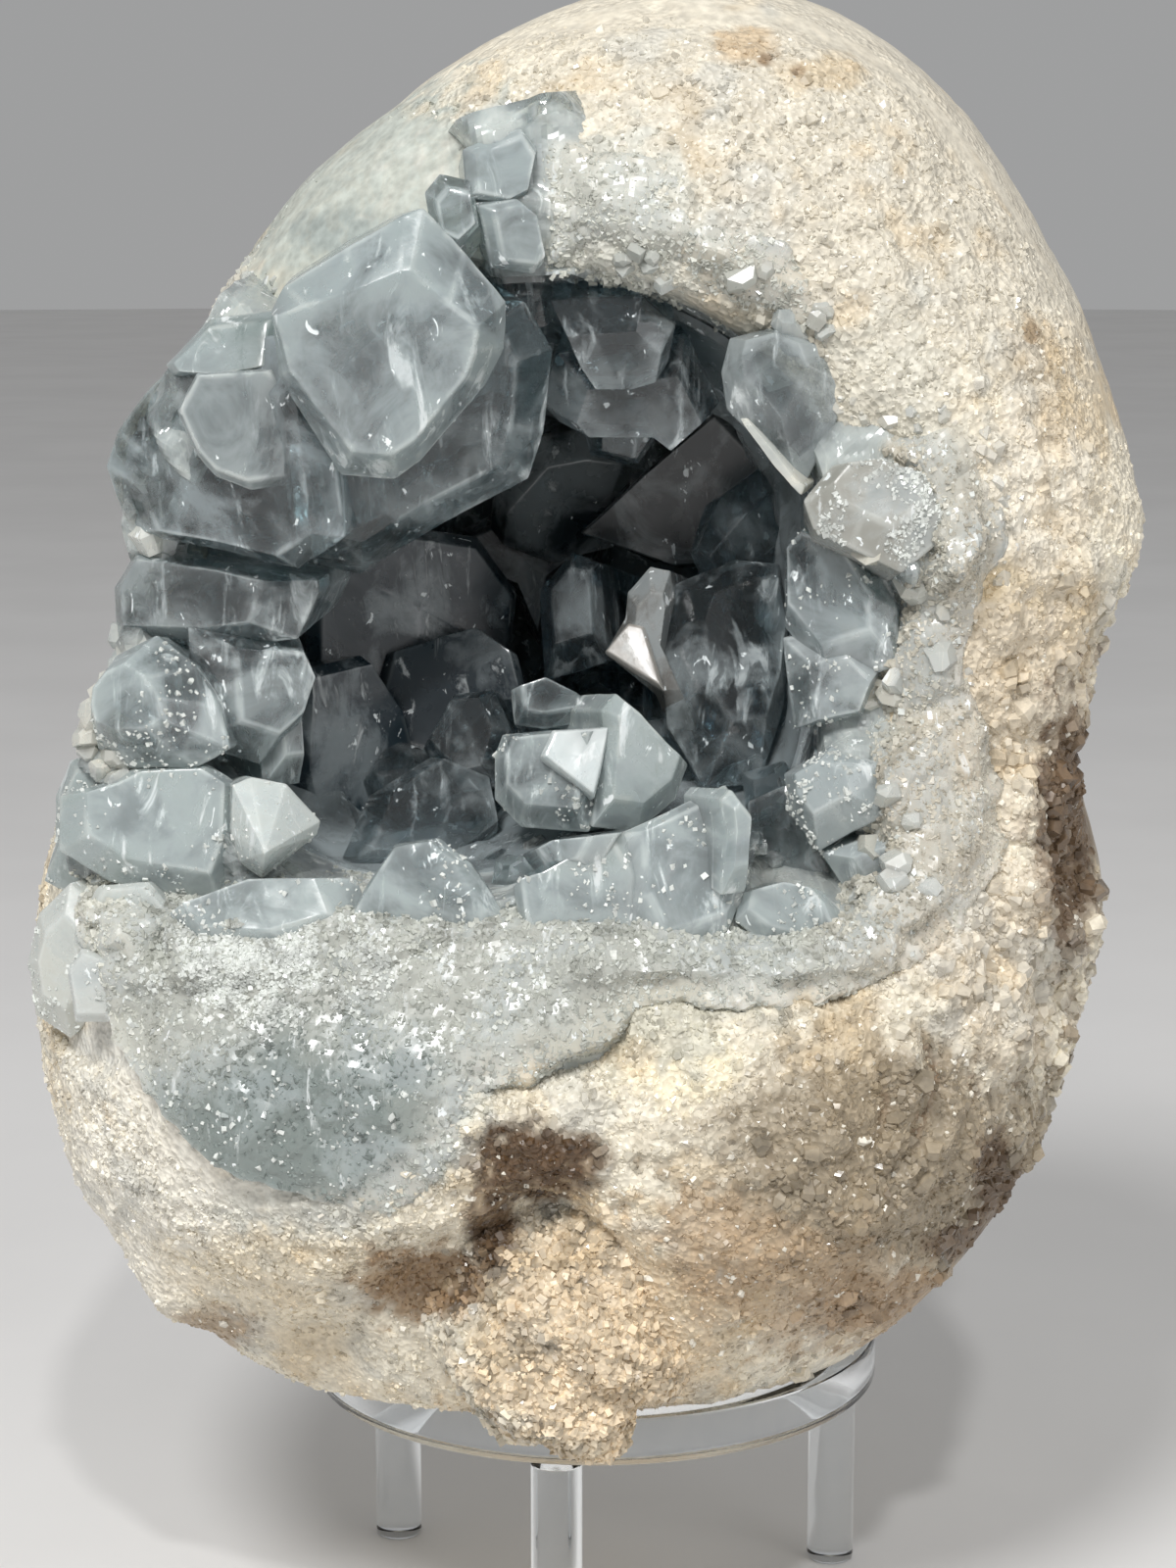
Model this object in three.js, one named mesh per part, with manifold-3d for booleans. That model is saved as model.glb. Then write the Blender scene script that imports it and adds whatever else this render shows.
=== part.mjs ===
// Celestite geode on a clear three-legged stand. Millimetres, +Z up, the opening faces -Y.
//
// The stone is a tall leaning egg, broken open at the front. Every place below is given from the
// middle of the egg: x to the right, y to the back, z up. The whole group is then moved so that
// its origin is the bottom centre of its box.
import * as THREE from 'three';
import Module from 'manifold-3d';
import { mergeVertices } from 'three/addons/utils/BufferGeometryUtils.js';

// ---- driving dimensions ------------------------------------------------------------------

const EGG = { halfWidth: 70.2, halfDepth: 59, halfHeight: 94.5, lean: 0.2264, taper: 0.11, x: 1.4 };
const AXIS = { x: -2, z: 8 }; // the opening's axis, which runs along Y
const FLAT_BOTTOM = -79.5; // the level at which the egg's point is broken off flat
const GAP = 0.3; // between any two solids that touch
const HOLLOW_BACK = 38; // how far back the hollow's wall reaches
const WALL_CLEARANCE = 3 * GAP; // between the wall and the crust, whose facets are coarser
const LINING = 5; // how far the crust between the crystals stands out from the wall
const HEART_DEPTH = 4; // from the heart of a rim crystal to its nearest face, at the least
const CLOCK_STEPS = 40;
const LINING_STEPS = 10;
const LINING_PARTS = [0.12, 0.4, 0.7, 0.97]; // of the hollow's depth, from the lip to its back

// Around the opening, at every 30 degrees clockwise from the top.
const CREST_ANGLE = [110, 111, 113, 113, 118, 125, 130, 128, 118, 100, 98, 105];
const LIP_RADIUS = [50, 46, 36, 31, 30, 22, 19, 26, 40, 49, 51, 53];
const LIP_DEPTH = [-30, -31, -30, -29, -32, -40, -43, -42, -33, -17, -17, -24];
const FACE_BULGE = [5, 6, 7, 7, 7, 6, 5, 5, 4, 1, 1, 3];

// How much of the egg's reach is left, at every 15 degrees clockwise from the top. The right side
// and the crystals' side at the left are broken back, the whole way round as far as BROKEN_BACK.
const BROKEN_SIDE = [
  0.99, 0.99, 0.99, 0.985, 0.995, 0.975, 0.89, 0.885, 0.935, 1, 1.01, 1,
  1, 1, 1.01, 1.02, 0.985, 0.92, 0.85, 0.86, 0.94, 0.965, 0.99, 0.985,
];
const BROKEN_BACK = [60, 88]; // degrees from the back, where the broken side starts and is full

// Lumps and pits of the stone: place, radius, and how far the surface is lifted there.
const LUMPS = [
  { at: [-5, -48, -57], radius: 10, lift: -11 }, // the dark pit over the bottom lump
  { at: [-20, -42, -63], radius: 8, lift: -6 }, // the groove that runs from it to the left
  { at: [-31, -34, -70], radius: 7, lift: -4 },
  { at: [60, -7, -3], radius: 7, lift: -6 }, // the notch of the right edge
  { at: [63, 2, -22], radius: 15, lift: 4.5 }, // the back layer that swells past it
  { at: [56, -16, -16], radius: 5, lift: -4 }, // the groove between the two layers
  { at: [54, -19, -30], radius: 5, lift: -4 },
  { at: [50, -22, -44], radius: 5, lift: -4 },
  { at: [46, -22, -56], radius: 7, lift: -5 },
  { at: [62, -14, 26], radius: 9, lift: 2.5 },
  { at: [-50, -22, -66], radius: 6, lift: 3 },
  { at: [25, -44, -50], radius: 16, lift: 2.5 },
  { at: [-40, -36, -40], radius: 18, lift: 2.5 },
];
const BOTTOM_LUMP = {
  at: [-3.5, -38, -65],
  size: [15.5, 13, 17.5],
  bottom: -82.4, // its lowest level, in front of the ring
  front: -37, // the y behind which it stops at the flat bottom
  unevenness: 0.1,
  wave: { height: 0.08, x: 5, z: 7 },
};

// The front view's eye. An outline point [u, v] is a place on the egg's middle plane, u to the
// right and v up, and the crystal's corner lies on the line from the eye through that place.
const EYE = new THREE.Vector3(0, -424, 71);
const VIEW_TURN = 0.1833; // how far the eye looks down, in radians

// Tablets: crystals that turn a broad flat face to the front. `depth` is the face's y, `turn` how
// far it looks [right, up], `face` the bevelled front face [size, rise, shift right, shift up].
const RIM_TABLETS = [
  // the great clear crystal over the hollow, and the two blocks that carry it
  { depth: -41, turn: [0.1, -0.12], face: [0.84, 4.5, 0, -1.6], thick: 20, outline: [
    [-40.5, 51], [-37.5, 57.5], [-22.5, 64.5], [-12.5, 59.5], [-9.5, 53], [-12.5, 43.5], [-24.5, 31.5],
    [-29.5, 32], [-39.5, 44],
  ] },
  { depth: -31, turn: [-0.45, -0.1], face: [0.86, 3, 1, 1], thick: 20, outline: [
    [-61.5, 33], [-60, 37.5], [-56, 43], [-50, 49], [-34, 50], [-31, 24], [-37, 20], [-48, 22.5],
    [-58.5, 24.5],
  ] },
  { depth: -31, turn: [0.2, -0.3], face: [0.88, 3, -1, 0.5], thick: 22, outline: [
    [-38, 42], [-24, 55], [-8, 54], [-4.5, 48], [-5.5, 37.5], [-7.5, 31.5], [-19, 25.5], [-29, 19.2],
    [-35, 20.5],
  ] },
  { depth: -37, turn: [-0.15, 0.1], face: [0.9, 1.5, 0, 0.5], thick: 10, outline: [
    [-52.5, 40], [-50, 45], [-40, 45.5], [-37.5, 42.5], [-37.8, 30.7], [-43, 30], [-47.5, 31.7],
    [-50, 34.5],
  ] },
  { depth: -33, turn: [-0.3, 0.5], face: [0.85, 2, 0, 0], thick: 14, outline: [
    [-57, 46], [-48, 52], [-38, 53], [-39, 45.5], [-46, 44], [-54, 44.5],
  ] },
  // the stepped crystals at the upper left
  { depth: -34, turn: [0.25, -0.05], face: [0.9, 1, 0, 0], thick: 14, outline: [
    [-16, 73.5], [-8.5, 76], [-6.5, 73.5], [-7.5, 65.5], [-6, 58], [-12, 58], [-13, 63.5],
    [-15.5, 68.5],
  ] },
  { depth: -35, turn: [-0.2, 0.3], face: [0.88, 1.5, 0, 0], thick: 14, outline: [
    [-21, 68], [-19, 70.5], [-15, 69.5], [-14, 64], [-17, 61], [-20, 62.5],
  ] },
  // the left side, from the top down
  { depth: -27, turn: [-0.3, -0.05], face: [0.85, 3, 0, 0], thick: 18, outline: [
    [-60.5, 17.5], [-57.5, 22.5], [-43, 20.5], [-34.5, 18.5], [-34.3, 17], [-37, 11], [-46, 10],
    [-60, 10.5],
  ] },
  { depth: -27, turn: [0.3, 0], face: [0.82, 3, 0, 0], thick: 18, outline: [
    [-51, 12.5], [-37, 11.5], [-34.7, 6.5], [-37, -0.5], [-42, -5], [-50, -2.5],
  ] },
  { depth: -31, turn: [-0.2, 0.1], face: [0.62, 5, 0, 0], thick: 18, outline: [
    [-63, 5], [-60, 9], [-55, 11.5], [-50, 7.5], [-47, 2.5], [-45.5, -3], [-50, -5.5], [-58.5, -5.5],
    [-62.5, -3], [-63.5, 0.5],
  ] },
  { depth: -25, turn: [0.5, 0], face: [0.7, 2.5, 0, 0], thick: 14, outline: [
    [-42, -2.5], [-37.5, 5], [-36.7, -7.5], [-41.5, -8],
  ] },
  { depth: -32, turn: [-0.1, 0.25], face: [0.84, 3, 0, -0.5], thick: 20, outline: [
    [-62.5, -7.5], [-58.5, -5.5], [-48.5, -5], [-44.5, -7.5], [-45, -17.5], [-47, -22.5], [-61, -20],
    [-67.5, -16], [-67.5, -9],
  ] },
  { depth: -36, turn: [0.25, 0.1], face: [0.06, 8, -1.5, -2.5], thick: 14, outline: [
    [-45.5, -7.5], [-43, -6.5], [-38.5, -7.5], [-34, -12.2], [-34.5, -14], [-41.5, -19.7],
    [-44.5, -17.5], [-45.5, -14],
  ] },
  { depth: -25, turn: [-0.45, 0.1], face: [0.8, 2.5, 0, 0], thick: 16, outline: [
    [-68, -9], [-66, -4.5], [-62.5, -3.5], [-60, -6], [-61, -17], [-65, -22], [-69.5, -20], [-68, -15],
  ] },
  { depth: -35, turn: [-0.2, 0.1], face: [0.84, 1.6, 0, 0], thick: 12, outline: [
    [-64.5, -24], [-62.5, -20.5], [-56, -20], [-52.7, -24], [-54.5, -27.5], [-56, -29.5],
    [-63.5, -29.5], [-65.5, -27.5],
  ] },
  { depth: -37, turn: [-0.25, 0], face: [0.84, 1.6, 0, 0], thick: 12, outline: [
    [-66.5, -31], [-64.5, -28.5], [-59, -30.5], [-56, -32.5], [-61, -38], [-65.5, -38],
  ] },
  { depth: -29, turn: [-0.55, -0.1], face: [0.8, 2.5, 0, 0], thick: 16, outline: [
    [-70, -24], [-66, -20], [-62, -24], [-62, -36], [-66, -40], [-70.5, -37], [-71.5, -30],
  ] },
  { depth: -42, turn: [0, 0.45], face: [0.86, 2, 0, -0.5], thick: 16, outline: [
    [-53.5, -24], [-41.5, -19.7], [-29.5, -19.6], [-27, -26], [-37.5, -29], [-50, -28.5],
  ] },
  { depth: -43, turn: [-0.1, -0.1], face: [0.86, 2.4, 0, 0], thick: 14, outline: [
    [-55, -27], [-44, -25], [-34, -28], [-33, -36], [-44, -40], [-55, -37],
  ] },
  // along the front of the hollow
  { depth: -44, turn: [-0.1, 0.2], face: [0.82, 3.4, 0, 0.5], thick: 18, outline: [
    [-28, -20], [-24.7, -15.2], [-19, -14.4], [-15, -17.5], [-9.5, -25.6], [-10.5, -33.7], [-20, -36.8],
    [-30, -33.7], [-31.5, -26],
  ] },
  { depth: -45, turn: [0.1, 0.2], face: [0.84, 2.8, 0, 0], thick: 16, outline: [
    [-9.5, -20.5], [-6, -19.5], [5, -13.5], [8.5, -20], [8, -31], [-3.5, -32.5], [-8.5, -27.5],
  ] },
  { depth: -43, turn: [0.2, 0.35], face: [0.84, 2.6, 0, 0], thick: 16, outline: [
    [3.5, -14], [17.5, -7.6], [20, -11], [20.2, -20.5], [17.5, -27.5], [7.5, -31], [4, -24],
  ] },
  { depth: -46, turn: [0.55, 0], face: [0.7, 2, 0, 0], thick: 9, outline: [
    [17, -9.5], [18.2, -8.2], [20.6, -11.2], [20, -21.3], [16.9, -21.8], [17.5, -14],
  ] },
  { depth: -42, turn: [0.25, 0.15], face: [0.86, 2.2, 0, 0], thick: 14, outline: [
    [19.4, -21.5], [25, -20], [29.7, -21], [32.5, -24], [34.6, -29], [31.2, -30.6], [22.5, -28],
    [18.7, -25],
  ] },
  { depth: -44, turn: [-0.3, 0.1], face: [0.7, 2.6, 0, 0], thick: 12, outline: [
    [-8.5, -16.5], [-5, -14.7], [4, -13.7], [1, -19], [-6, -19.7],
  ] },
  { depth: -46, turn: [-0.1, -0.25], face: [0.8, 2.4, 0, 0], thick: 14, outline: [
    [-12, -27], [-5, -26.5], [2.5, -31], [0, -37.5], [-7.5, -38.7], [-11.5, -33.5],
  ] },
  { depth: -45, turn: [0.15, -0.25], face: [0.8, 2.4, 0, 0], thick: 14, outline: [
    [0, -32], [7.5, -30.5], [15, -31.5], [17.5, -36], [7, -37.7], [0, -36.5],
  ] },
  { depth: -42, turn: [0.3, -0.1], face: [0.8, 2.2, 0, 0], thick: 14, outline: [
    [16, -29], [24, -28], [32, -31], [28, -37], [18, -36],
  ] },
  // the right side
  { depth: -38, turn: [0.05, 0.35], face: [0.86, 2.4, 0, 0], thick: 14, outline: [
    [27.5, 28.7], [31.2, 33.1], [37.5, 33.7], [45, 31.2], [46.9, 25], [40, 19.4], [33.7, 22.5],
    [28.7, 25],
  ] },
  { depth: -31, turn: [-0.3, 0.1], face: [0.84, 2.6, 0, 0], thick: 18, outline: [
    [25, 22.5], [27.5, 25.4], [35, 22.5], [39.4, 15], [40, 7.5], [31.2, 5], [25, 12.5],
  ] },
  { depth: -31, turn: [-0.25, 0], face: [0.82, 2.4, 0, 0], thick: 18, outline: [
    [24.7, 11.2], [32.5, 12.5], [37.5, 7.5], [35, 1.2], [26.2, -0.6],
  ] },
  { depth: -35, turn: [-0.3, 0.15], face: [0.7, 3, 0, 0], thick: 16, outline: [
    [25, -6.2], [31.2, -2.5], [37.5, -5], [38.7, -11.2], [33.7, -13.7], [29.4, -16.2], [25.6, -11.2],
  ] },
  { depth: -35, turn: [-0.1, -0.1], face: [0.75, 2.2, 0, 0], thick: 14, outline: [
    [29.4, -16.2], [37.5, -13.7], [43.7, -16.2], [40, -20], [32.5, -20.6],
  ] },
  { depth: -27, turn: [-0.35, 0.3], face: [0.84, 2, 0, 0], thick: 16, outline: [
    [20.6, -9.4], [27.5, -6.5], [34, -15], [31, -20.5], [20.6, -20.6],
  ] },
];

// The same for the crystals that stand in the hollow, which end at its wall.
const INNER_TABLETS = [
  // the cluster that stands on the hollow's floor
  { depth: -30, turn: [-0.35, 0.2], face: [0.84, 3, 0.5, 0.5], thick: 20, outline: [
    [-12, -4], [-11, -1.2], [-5, -0.6], [2.5, -0.2], [1, -9.7], [0, -13.7], [-8.7, -13], [-12, -9.5],
  ] },
  { depth: -34, turn: [0.15, 0.45], face: [0.9, 0.8, 0, 0], thick: 8, outline: [
    [-6.1, -4], [-4.6, -0.6], [2.9, -0.1], [1.6, -6.2], [0.8, -9.4],
  ] },
  { depth: -31, turn: [0.4, 0.1], face: [0.84, 2.6, 0, -0.5], thick: 20, outline: [
    [1.9, 0], [1.6, 1.9], [3.5, 4.2], [5.6, 2.5], [10, -2.5], [12.7, -5], [11.2, -9.4], [6.2, -13.7],
    [0.5, -13],
  ] },
  { depth: -20, turn: [0, 0.5], face: [0.8, 2, 0, 0], thick: 12, outline: [
    [-10, 4.5], [-5.6, 6], [0, 3.2], [1, 0.6], [-5.5, -0.6], [-9.4, 0],
  ] },
  // the hollow's back
  { depth: -6, turn: [-0.3, 0.15], face: [0.8, 3, -1, 0], thick: 22, outline: [
    [-6.2, 15.6], [-6, 17.5], [-1.9, 22], [1.5, 20.6], [2.5, 8], [-5.5, 5.6],
  ] },
  { depth: -10, turn: [0.1, 0.1], face: [0.5, 4, 0, 1], thick: 22, outline: [
    [1.9, 9.4], [5, 12.5], [6.2, 18.7], [8.5, 20.2], [11, 18], [12.5, 6], [14, 1], [8, 4.5],
  ] },
  { depth: -12, turn: [0.25, 0.05], face: [0.82, 4, 0, 0], thick: 26, outline: [
    [11.2, 18], [18.7, 21.2], [24.4, 20.6], [26, 12.5], [24, 2.5], [23, -7.5], [13, -6.2], [10, 0],
    [9.4, 12.5],
  ] },
  { depth: 0, turn: [0.3, 0.1], face: [0.86, 3, 0, 0], thick: 24, outline: [
    [-34.7, 18], [-20, 20.5], [-10, 17.5], [-9.4, 11.2], [-25, 9.4], [-34, 7.5],
  ] },
  { depth: -2, turn: [0.3, 0.3], face: [0.84, 3, 0, 0], thick: 22, outline: [
    [-24.4, 5], [-22, 10], [-10, 11.9], [-8, 5], [-12.5, 4.4], [-20, 1],
  ] },
  { depth: -8, turn: [0.4, 0.1], face: [0.86, 3, 0, 0], thick: 24, outline: [
    [-36.5, 6.2], [-22.5, 5], [-15, -1.2], [-20, -10], [-30.6, -15], [-33.7, -13.7], [-37, -6.2],
  ] },
  { depth: -20, turn: [0.1, 0.5], face: [0.84, 2.6, 0, 0], thick: 20, outline: [
    [-31, -18.7], [-30, -13], [-16, -7.5], [-12.5, -12.5], [-15, -18], [-25, -15.6], [-29.5, -19.4],
  ] },
  { depth: -15, turn: [-0.1, 0.2], face: [0.7, 3, 0, 0], thick: 20, outline: [
    [-25, 0], [-20, 5.6], [-12.5, 4.4], [-10, 0], [-12.5, -5], [-15, -2.5],
  ] },
  { depth: 18, turn: [0.1, -0.35], face: [0.88, 3, 0, 0], thick: 20, outline: [
    [-5.9, 36.9], [0, 38], [12.5, 36.2], [5, 25], [-5, 22.5], [-12.5, 25], [-12, 30],
  ] },
  { depth: 12, turn: [-0.25, -0.1], face: [0.88, 4, 0, 0], thick: 24, outline: [
    [11.2, 35], [16.9, 40.6], [26.9, 29.4], [27, 25], [24.7, 21.2], [12.5, 22.5], [5, 25],
  ] },
  { depth: 22, turn: [0.1, 0.1], face: [0.84, 3, 0, 0], thick: 14, outline: [
    [-16.2, 25], [-6.2, 30], [0, 22.5], [-5, 18.7], [-6.2, 10], [-9.4, 17.5], [-15.2, 19.7],
  ] },
  // the crystals that hang from the hollow's roof
  { depth: -27, turn: [0, -0.4], face: [0.84, 3, 0, -0.5], thick: 20, outline: [
    [-5, 54.4], [6.9, 55], [11.2, 51.2], [10.2, 46.2], [6.2, 45], [0, 45], [-2.5, 48.7],
  ] },
  { depth: -21, turn: [0.05, -0.25], face: [0.84, 3, 0, 0], thick: 20, outline: [
    [-4, 47.5], [12.5, 50], [16.9, 41.2], [11.2, 36.2], [8, 38.7], [-3.7, 38.7], [-6, 41.2],
  ] },
  { depth: -30, turn: [-0.1, -0.2], face: [0.8, 3, 0, 1], thick: 20, outline: [
    [18, 49.4], [25, 51.2], [31.2, 48.7], [33, 41.2], [31.2, 37.5], [27.2, 30], [22.5, 36.9],
    [17.5, 40], [16.9, 45],
  ] },
  { depth: -34, turn: [-0.2, -0.3], face: [0.7, 1.8, 0, 0], thick: 10, outline: [
    [17.5, 41.2], [20.6, 42.5], [25, 41.2], [23.7, 38.7], [20, 36.9],
  ] },
  { depth: -22, turn: [0.1, -0.3], face: [0.8, 2, 0, 0], thick: 16, outline: [
    [-12, 58], [-5, 58], [-4, 52], [-9.5, 50], [-12, 53],
  ] },
];

// Prisms: crystals that grow out of the hollow's wall between the tablets, ring by ring.
// `along` goes from the lip (0) to the back of the hollow (1).
const PRISM_RINGS = [
  { along: 0.3, count: 6, length: 15, width: 16 },
  { along: 0.6, count: 4, length: 16, width: 17 },
  { along: 0.88, count: 2, length: 13, width: 16 },
];

// Each prism draws its own proportions from these ranges.
const PRISM = {
  flatness: [0.55, 0.85], // thickness over width
  shoulder: [0.55, 0.8], // where its end starts to narrow, along its length
  tipSize: [0.25, 0.55],
  lengthScale: [0.75, 1.25],
  widthScale: [0.8, 1.2],
  aimRadius: [4, 12], // it leans towards a place this far from the opening's axis
  aimForward: [8, 16], // and this far in front of its root
  foot: 4, // how far it goes on behind its root
};
const HEXAGON = [[-1, 0], [-0.7, -1], [0.7, -1], [1, 0], [0.7, 1], [-0.7, 1]];
const BACK_SIZE = 0.8; // size of a crystal's buried end over its full section

const POLE = 0.02; // radius, over a full turn of the surface, of the last ring before a pole
const WALL_FULLNESS = 0.65; // under 1, the hollow's wall is fuller than an ellipsoid
const EGG_ROUGHNESS = 0.25;
const FACE_ROUGHNESS = 1.1;

// The stone's rough swell is a sum of products of two waves. Each wave is [x, y, z, phase].
const SWELLS = [
  { height: 1, waves: [[0.41, 0, 0.23, 0], [0, -0.29, 0.37, 1]] },
  { height: 0.7, waves: [[0.83, 0, -0.61, 2], [0, 0.71, 0.77, 0]] },
];

const RING = { x: 1, y: 2, outer: 37, inner: 33, top: FLAT_BOTTOM - GAP, height: 6 };
const LEG = { radius: 3.175, length: 33, circle: 35, first: -98, taper: 0.6 };
const LEG_SIDES = 12;
const RING_SIDES = 36;

// ---- materials -----------------------------------------------------------------------------

const stone = new THREE.MeshStandardMaterial({ color: 0xd9cfbd, roughness: 0.85, metalness: 0 });
const crystal = new THREE.MeshStandardMaterial({ color: 0xb4c6cf, roughness: 0.2, metalness: 0 });
const acrylic = new THREE.MeshStandardMaterial({ color: 0xeaf2f4, roughness: 0.05, metalness: 0 });

// ---- solids --------------------------------------------------------------------------------

const wasm = await Module();
wasm.setup();

/** Makes a closed solid of a geometry, once its shared corners are merged. */
function solidOf(geometry) {
  const bare = geometry.clone();
  bare.deleteAttribute('normal');
  bare.deleteAttribute('uv');
  const merged = mergeVertices(bare, 1e-5);
  const vertProperties = new Float32Array(merged.attributes.position.array);
  const triVerts = new Uint32Array(merged.index.array);
  return new wasm.Manifold(new wasm.Mesh({ numProp: 3, vertProperties, triVerts }));
}

function geometryOf(solid) {
  const mesh = solid.getMesh();
  const geometry = new THREE.BufferGeometry();
  geometry.setAttribute('position', new THREE.BufferAttribute(mesh.vertProperties, 3));
  geometry.setIndex(new THREE.BufferAttribute(mesh.triVerts, 1));
  geometry.computeVertexNormals();
  return geometry;
}

function largestBody(solid) {
  const bodies = solid.decompose();
  return bodies.reduce((best, body) => (body.volume() > best.volume() ? body : best));
}

/** A closed skin over rings of points with the same number of corners, capped at both ends. */
function loft(rings) {
  const corners = rings[0].length;
  const index = [];
  for (let r = 0; r < rings.length - 1; r += 1) {
    for (let c = 0; c < corners; c += 1) {
      const next = (c + 1) % corners;
      const below = r * corners;
      const above = below + corners;
      index.push(below + c, below + next, above + next, below + c, above + next, above + c);
    }
  }
  const top = (rings.length - 1) * corners;
  for (let c = 1; c < corners - 1; c += 1) {
    index.push(0, c + 1, c, top, top + c, top + c + 1);
  }
  const geometry = new THREE.BufferGeometry().setFromPoints(rings.flat());
  geometry.setIndex(index);
  return geometry;
}

/** Turns a closed skin's faces so that they point out. */
function outward(geometry) {
  const index = geometry.index.array;
  const place = geometry.attributes.position;
  const corner = (k) => new THREE.Vector3().fromBufferAttribute(place, index[k]);
  let volume = 0;
  for (let k = 0; k < index.length; k += 3) {
    volume += corner(k).dot(corner(k + 1).cross(corner(k + 2)));
  }
  if (volume < 0) {
    for (let k = 0; k < index.length; k += 3) {
      [index[k + 1], index[k + 2]] = [index[k + 2], index[k + 1]];
    }
  }
  return geometry;
}

/** Smooth value between values that stand evenly around a clock; `turn` is 0 to 1. */
function around(values, turn) {
  const place = (turn - Math.floor(turn)) * values.length;
  const i = Math.floor(place);
  const t = place - i;
  const [a, b, c, d] = [-1, 0, 1, 2].map((k) => values[(i + k + values.length) % values.length]);
  return b + 0.5 * t * (c - a + t * (2 * a - 5 * b + 4 * c - d + t * (3 * (b - c) + d - a)));
}

/** A number from 0 to 1 that depends on `seed` alone: the far digits of a fast sine. */
function chance(seed) {
  const wave = Math.sin(seed * 12.9898 + 4.1414) * 43758.5453;
  return wave - Math.floor(wave);
}

function between([low, high], seed) {
  return low + (high - low) * chance(seed);
}

// ---- the stone -----------------------------------------------------------------------------

/** Under 1 inside the egg, 1 on its surface. */
function eggLevel(x, y, z) {
  const across = (x - EGG.x) * Math.cos(EGG.lean) - z * Math.sin(EGG.lean);
  const up = (x - EGG.x) * Math.sin(EGG.lean) + z * Math.cos(EGG.lean);
  const girth = 1 - (EGG.taper * up) / EGG.halfHeight;
  return (across / (EGG.halfWidth * girth)) ** 2 + (y / (EGG.halfDepth * girth)) ** 2
    + (up / EGG.halfHeight) ** 2;
}

/** Point at a radius from the opening's axis, a clock turn and a depth. */
function onClock(turn, radius, y) {
  const angle = turn * 2 * Math.PI;
  return new THREE.Vector3(AXIS.x + radius * Math.sin(angle), y, AXIS.z + radius * Math.cos(angle));
}

/**
 * Where a ray from the axis meets the broken egg; `angle` is 0 to the back and 90 across, in
 * degrees. The ray is halved again and again between a place inside the egg and one outside.
 */
function onEgg(turn, angle) {
  const tilt = THREE.MathUtils.degToRad(angle);
  const halvings = 30;
  let near = 0;
  let far = 2 * EGG.halfHeight;
  for (let k = 0; k < halvings; k += 1) {
    const middle = (near + far) / 2;
    const p = onClock(turn, middle * Math.sin(tilt), middle * Math.cos(tilt));
    if (eggLevel(p.x, p.y, p.z) < 1) near = middle;
    else far = middle;
  }
  const side = THREE.MathUtils.smoothstep(angle, ...BROKEN_BACK);
  const reach = near * (1 + side * (around(BROKEN_SIDE, turn) - 1));
  return onClock(turn, reach * Math.sin(tilt), reach * Math.cos(tilt));
}

/** Height of the stone's relief at a place: the named lumps, and the swell over `rough`. */
function relief(p, rough) {
  let lift = 0;
  for (const { height, waves } of SWELLS) {
    const [first, second] = waves.map(([x, y, z, phase]) => (
      Math.sin(p.x * x + p.y * y + p.z * z + phase)));
    lift += rough * height * first * second;
  }
  for (const lump of LUMPS) {
    const far = p.distanceTo(new THREE.Vector3(...lump.at)) / lump.radius;
    lift += lump.lift * Math.exp(-far * far);
  }
  return lift;
}

/** Moves a surface point out along its ray from the axis by the relief, and breaks the bottom off. */
function weathered(p, rough) {
  const out = new THREE.Vector3(p.x - AXIS.x, p.y, p.z - AXIS.z).normalize();
  const moved = p.clone().addScaledVector(out, relief(p, rough));
  moved.z = Math.max(moved.z, FLAT_BOTTOM);
  return moved;
}

const lipPoint = (turn) => onClock(turn, around(LIP_RADIUS, turn), around(LIP_DEPTH, turn));

/** The front's broken face, from the egg's crest (0) in to the lip (1). */
function frontPoint(turn, part) {
  const crest = onEgg(turn, around(CREST_ANGLE, turn));
  const p = crest.lerp(lipPoint(turn), part);
  p.y -= around(FACE_BULGE, turn) * Math.sin(Math.PI * part);
  return p;
}

/** The hollow's wall, from the lip (0) to its back (1), drawn in by `inset`. */
function wallPoint(turn, part, inset = 0) {
  const angle = (part * Math.PI) / 2;
  const lipDepth = around(LIP_DEPTH, turn);
  const radius = (around(LIP_RADIUS, turn) - inset) * Math.cos(angle) ** WALL_FULLNESS;
  return onClock(turn, radius, lipDepth + (HOLLOW_BACK - inset - lipDepth) * Math.sin(angle));
}

function clockRing(place, steps = CLOCK_STEPS) {
  return Array.from({ length: steps }, (_, k) => place(k / steps));
}

/** The egg with its open hollow: back pole, egg, front face, lip, hollow wall, hollow back. */
function stoneShell() {
  const eggSteps = 10;
  const faceSteps = 5;
  const wallSteps = 4;
  const rings = [];
  for (let k = 0; k <= eggSteps; k += 1) {
    const part = POLE + (1 - POLE) * (k / eggSteps);
    const angle = (turn) => around(CREST_ANGLE, turn) * part;
    rings.push(clockRing((turn) => weathered(onEgg(turn, angle(turn)), EGG_ROUGHNESS)));
  }
  for (let k = 1; k < faceSteps; k += 1) {
    const part = k / faceSteps;
    rings.push(clockRing((turn) => weathered(frontPoint(turn, part), FACE_ROUGHNESS)));
  }
  for (let k = 0; k <= wallSteps; k += 1) {
    const part = (k / wallSteps) * (1 - POLE);
    rings.push(clockRing((turn) => wallPoint(turn, part)));
  }
  return solidOf(outward(loft(rings)));
}

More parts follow.
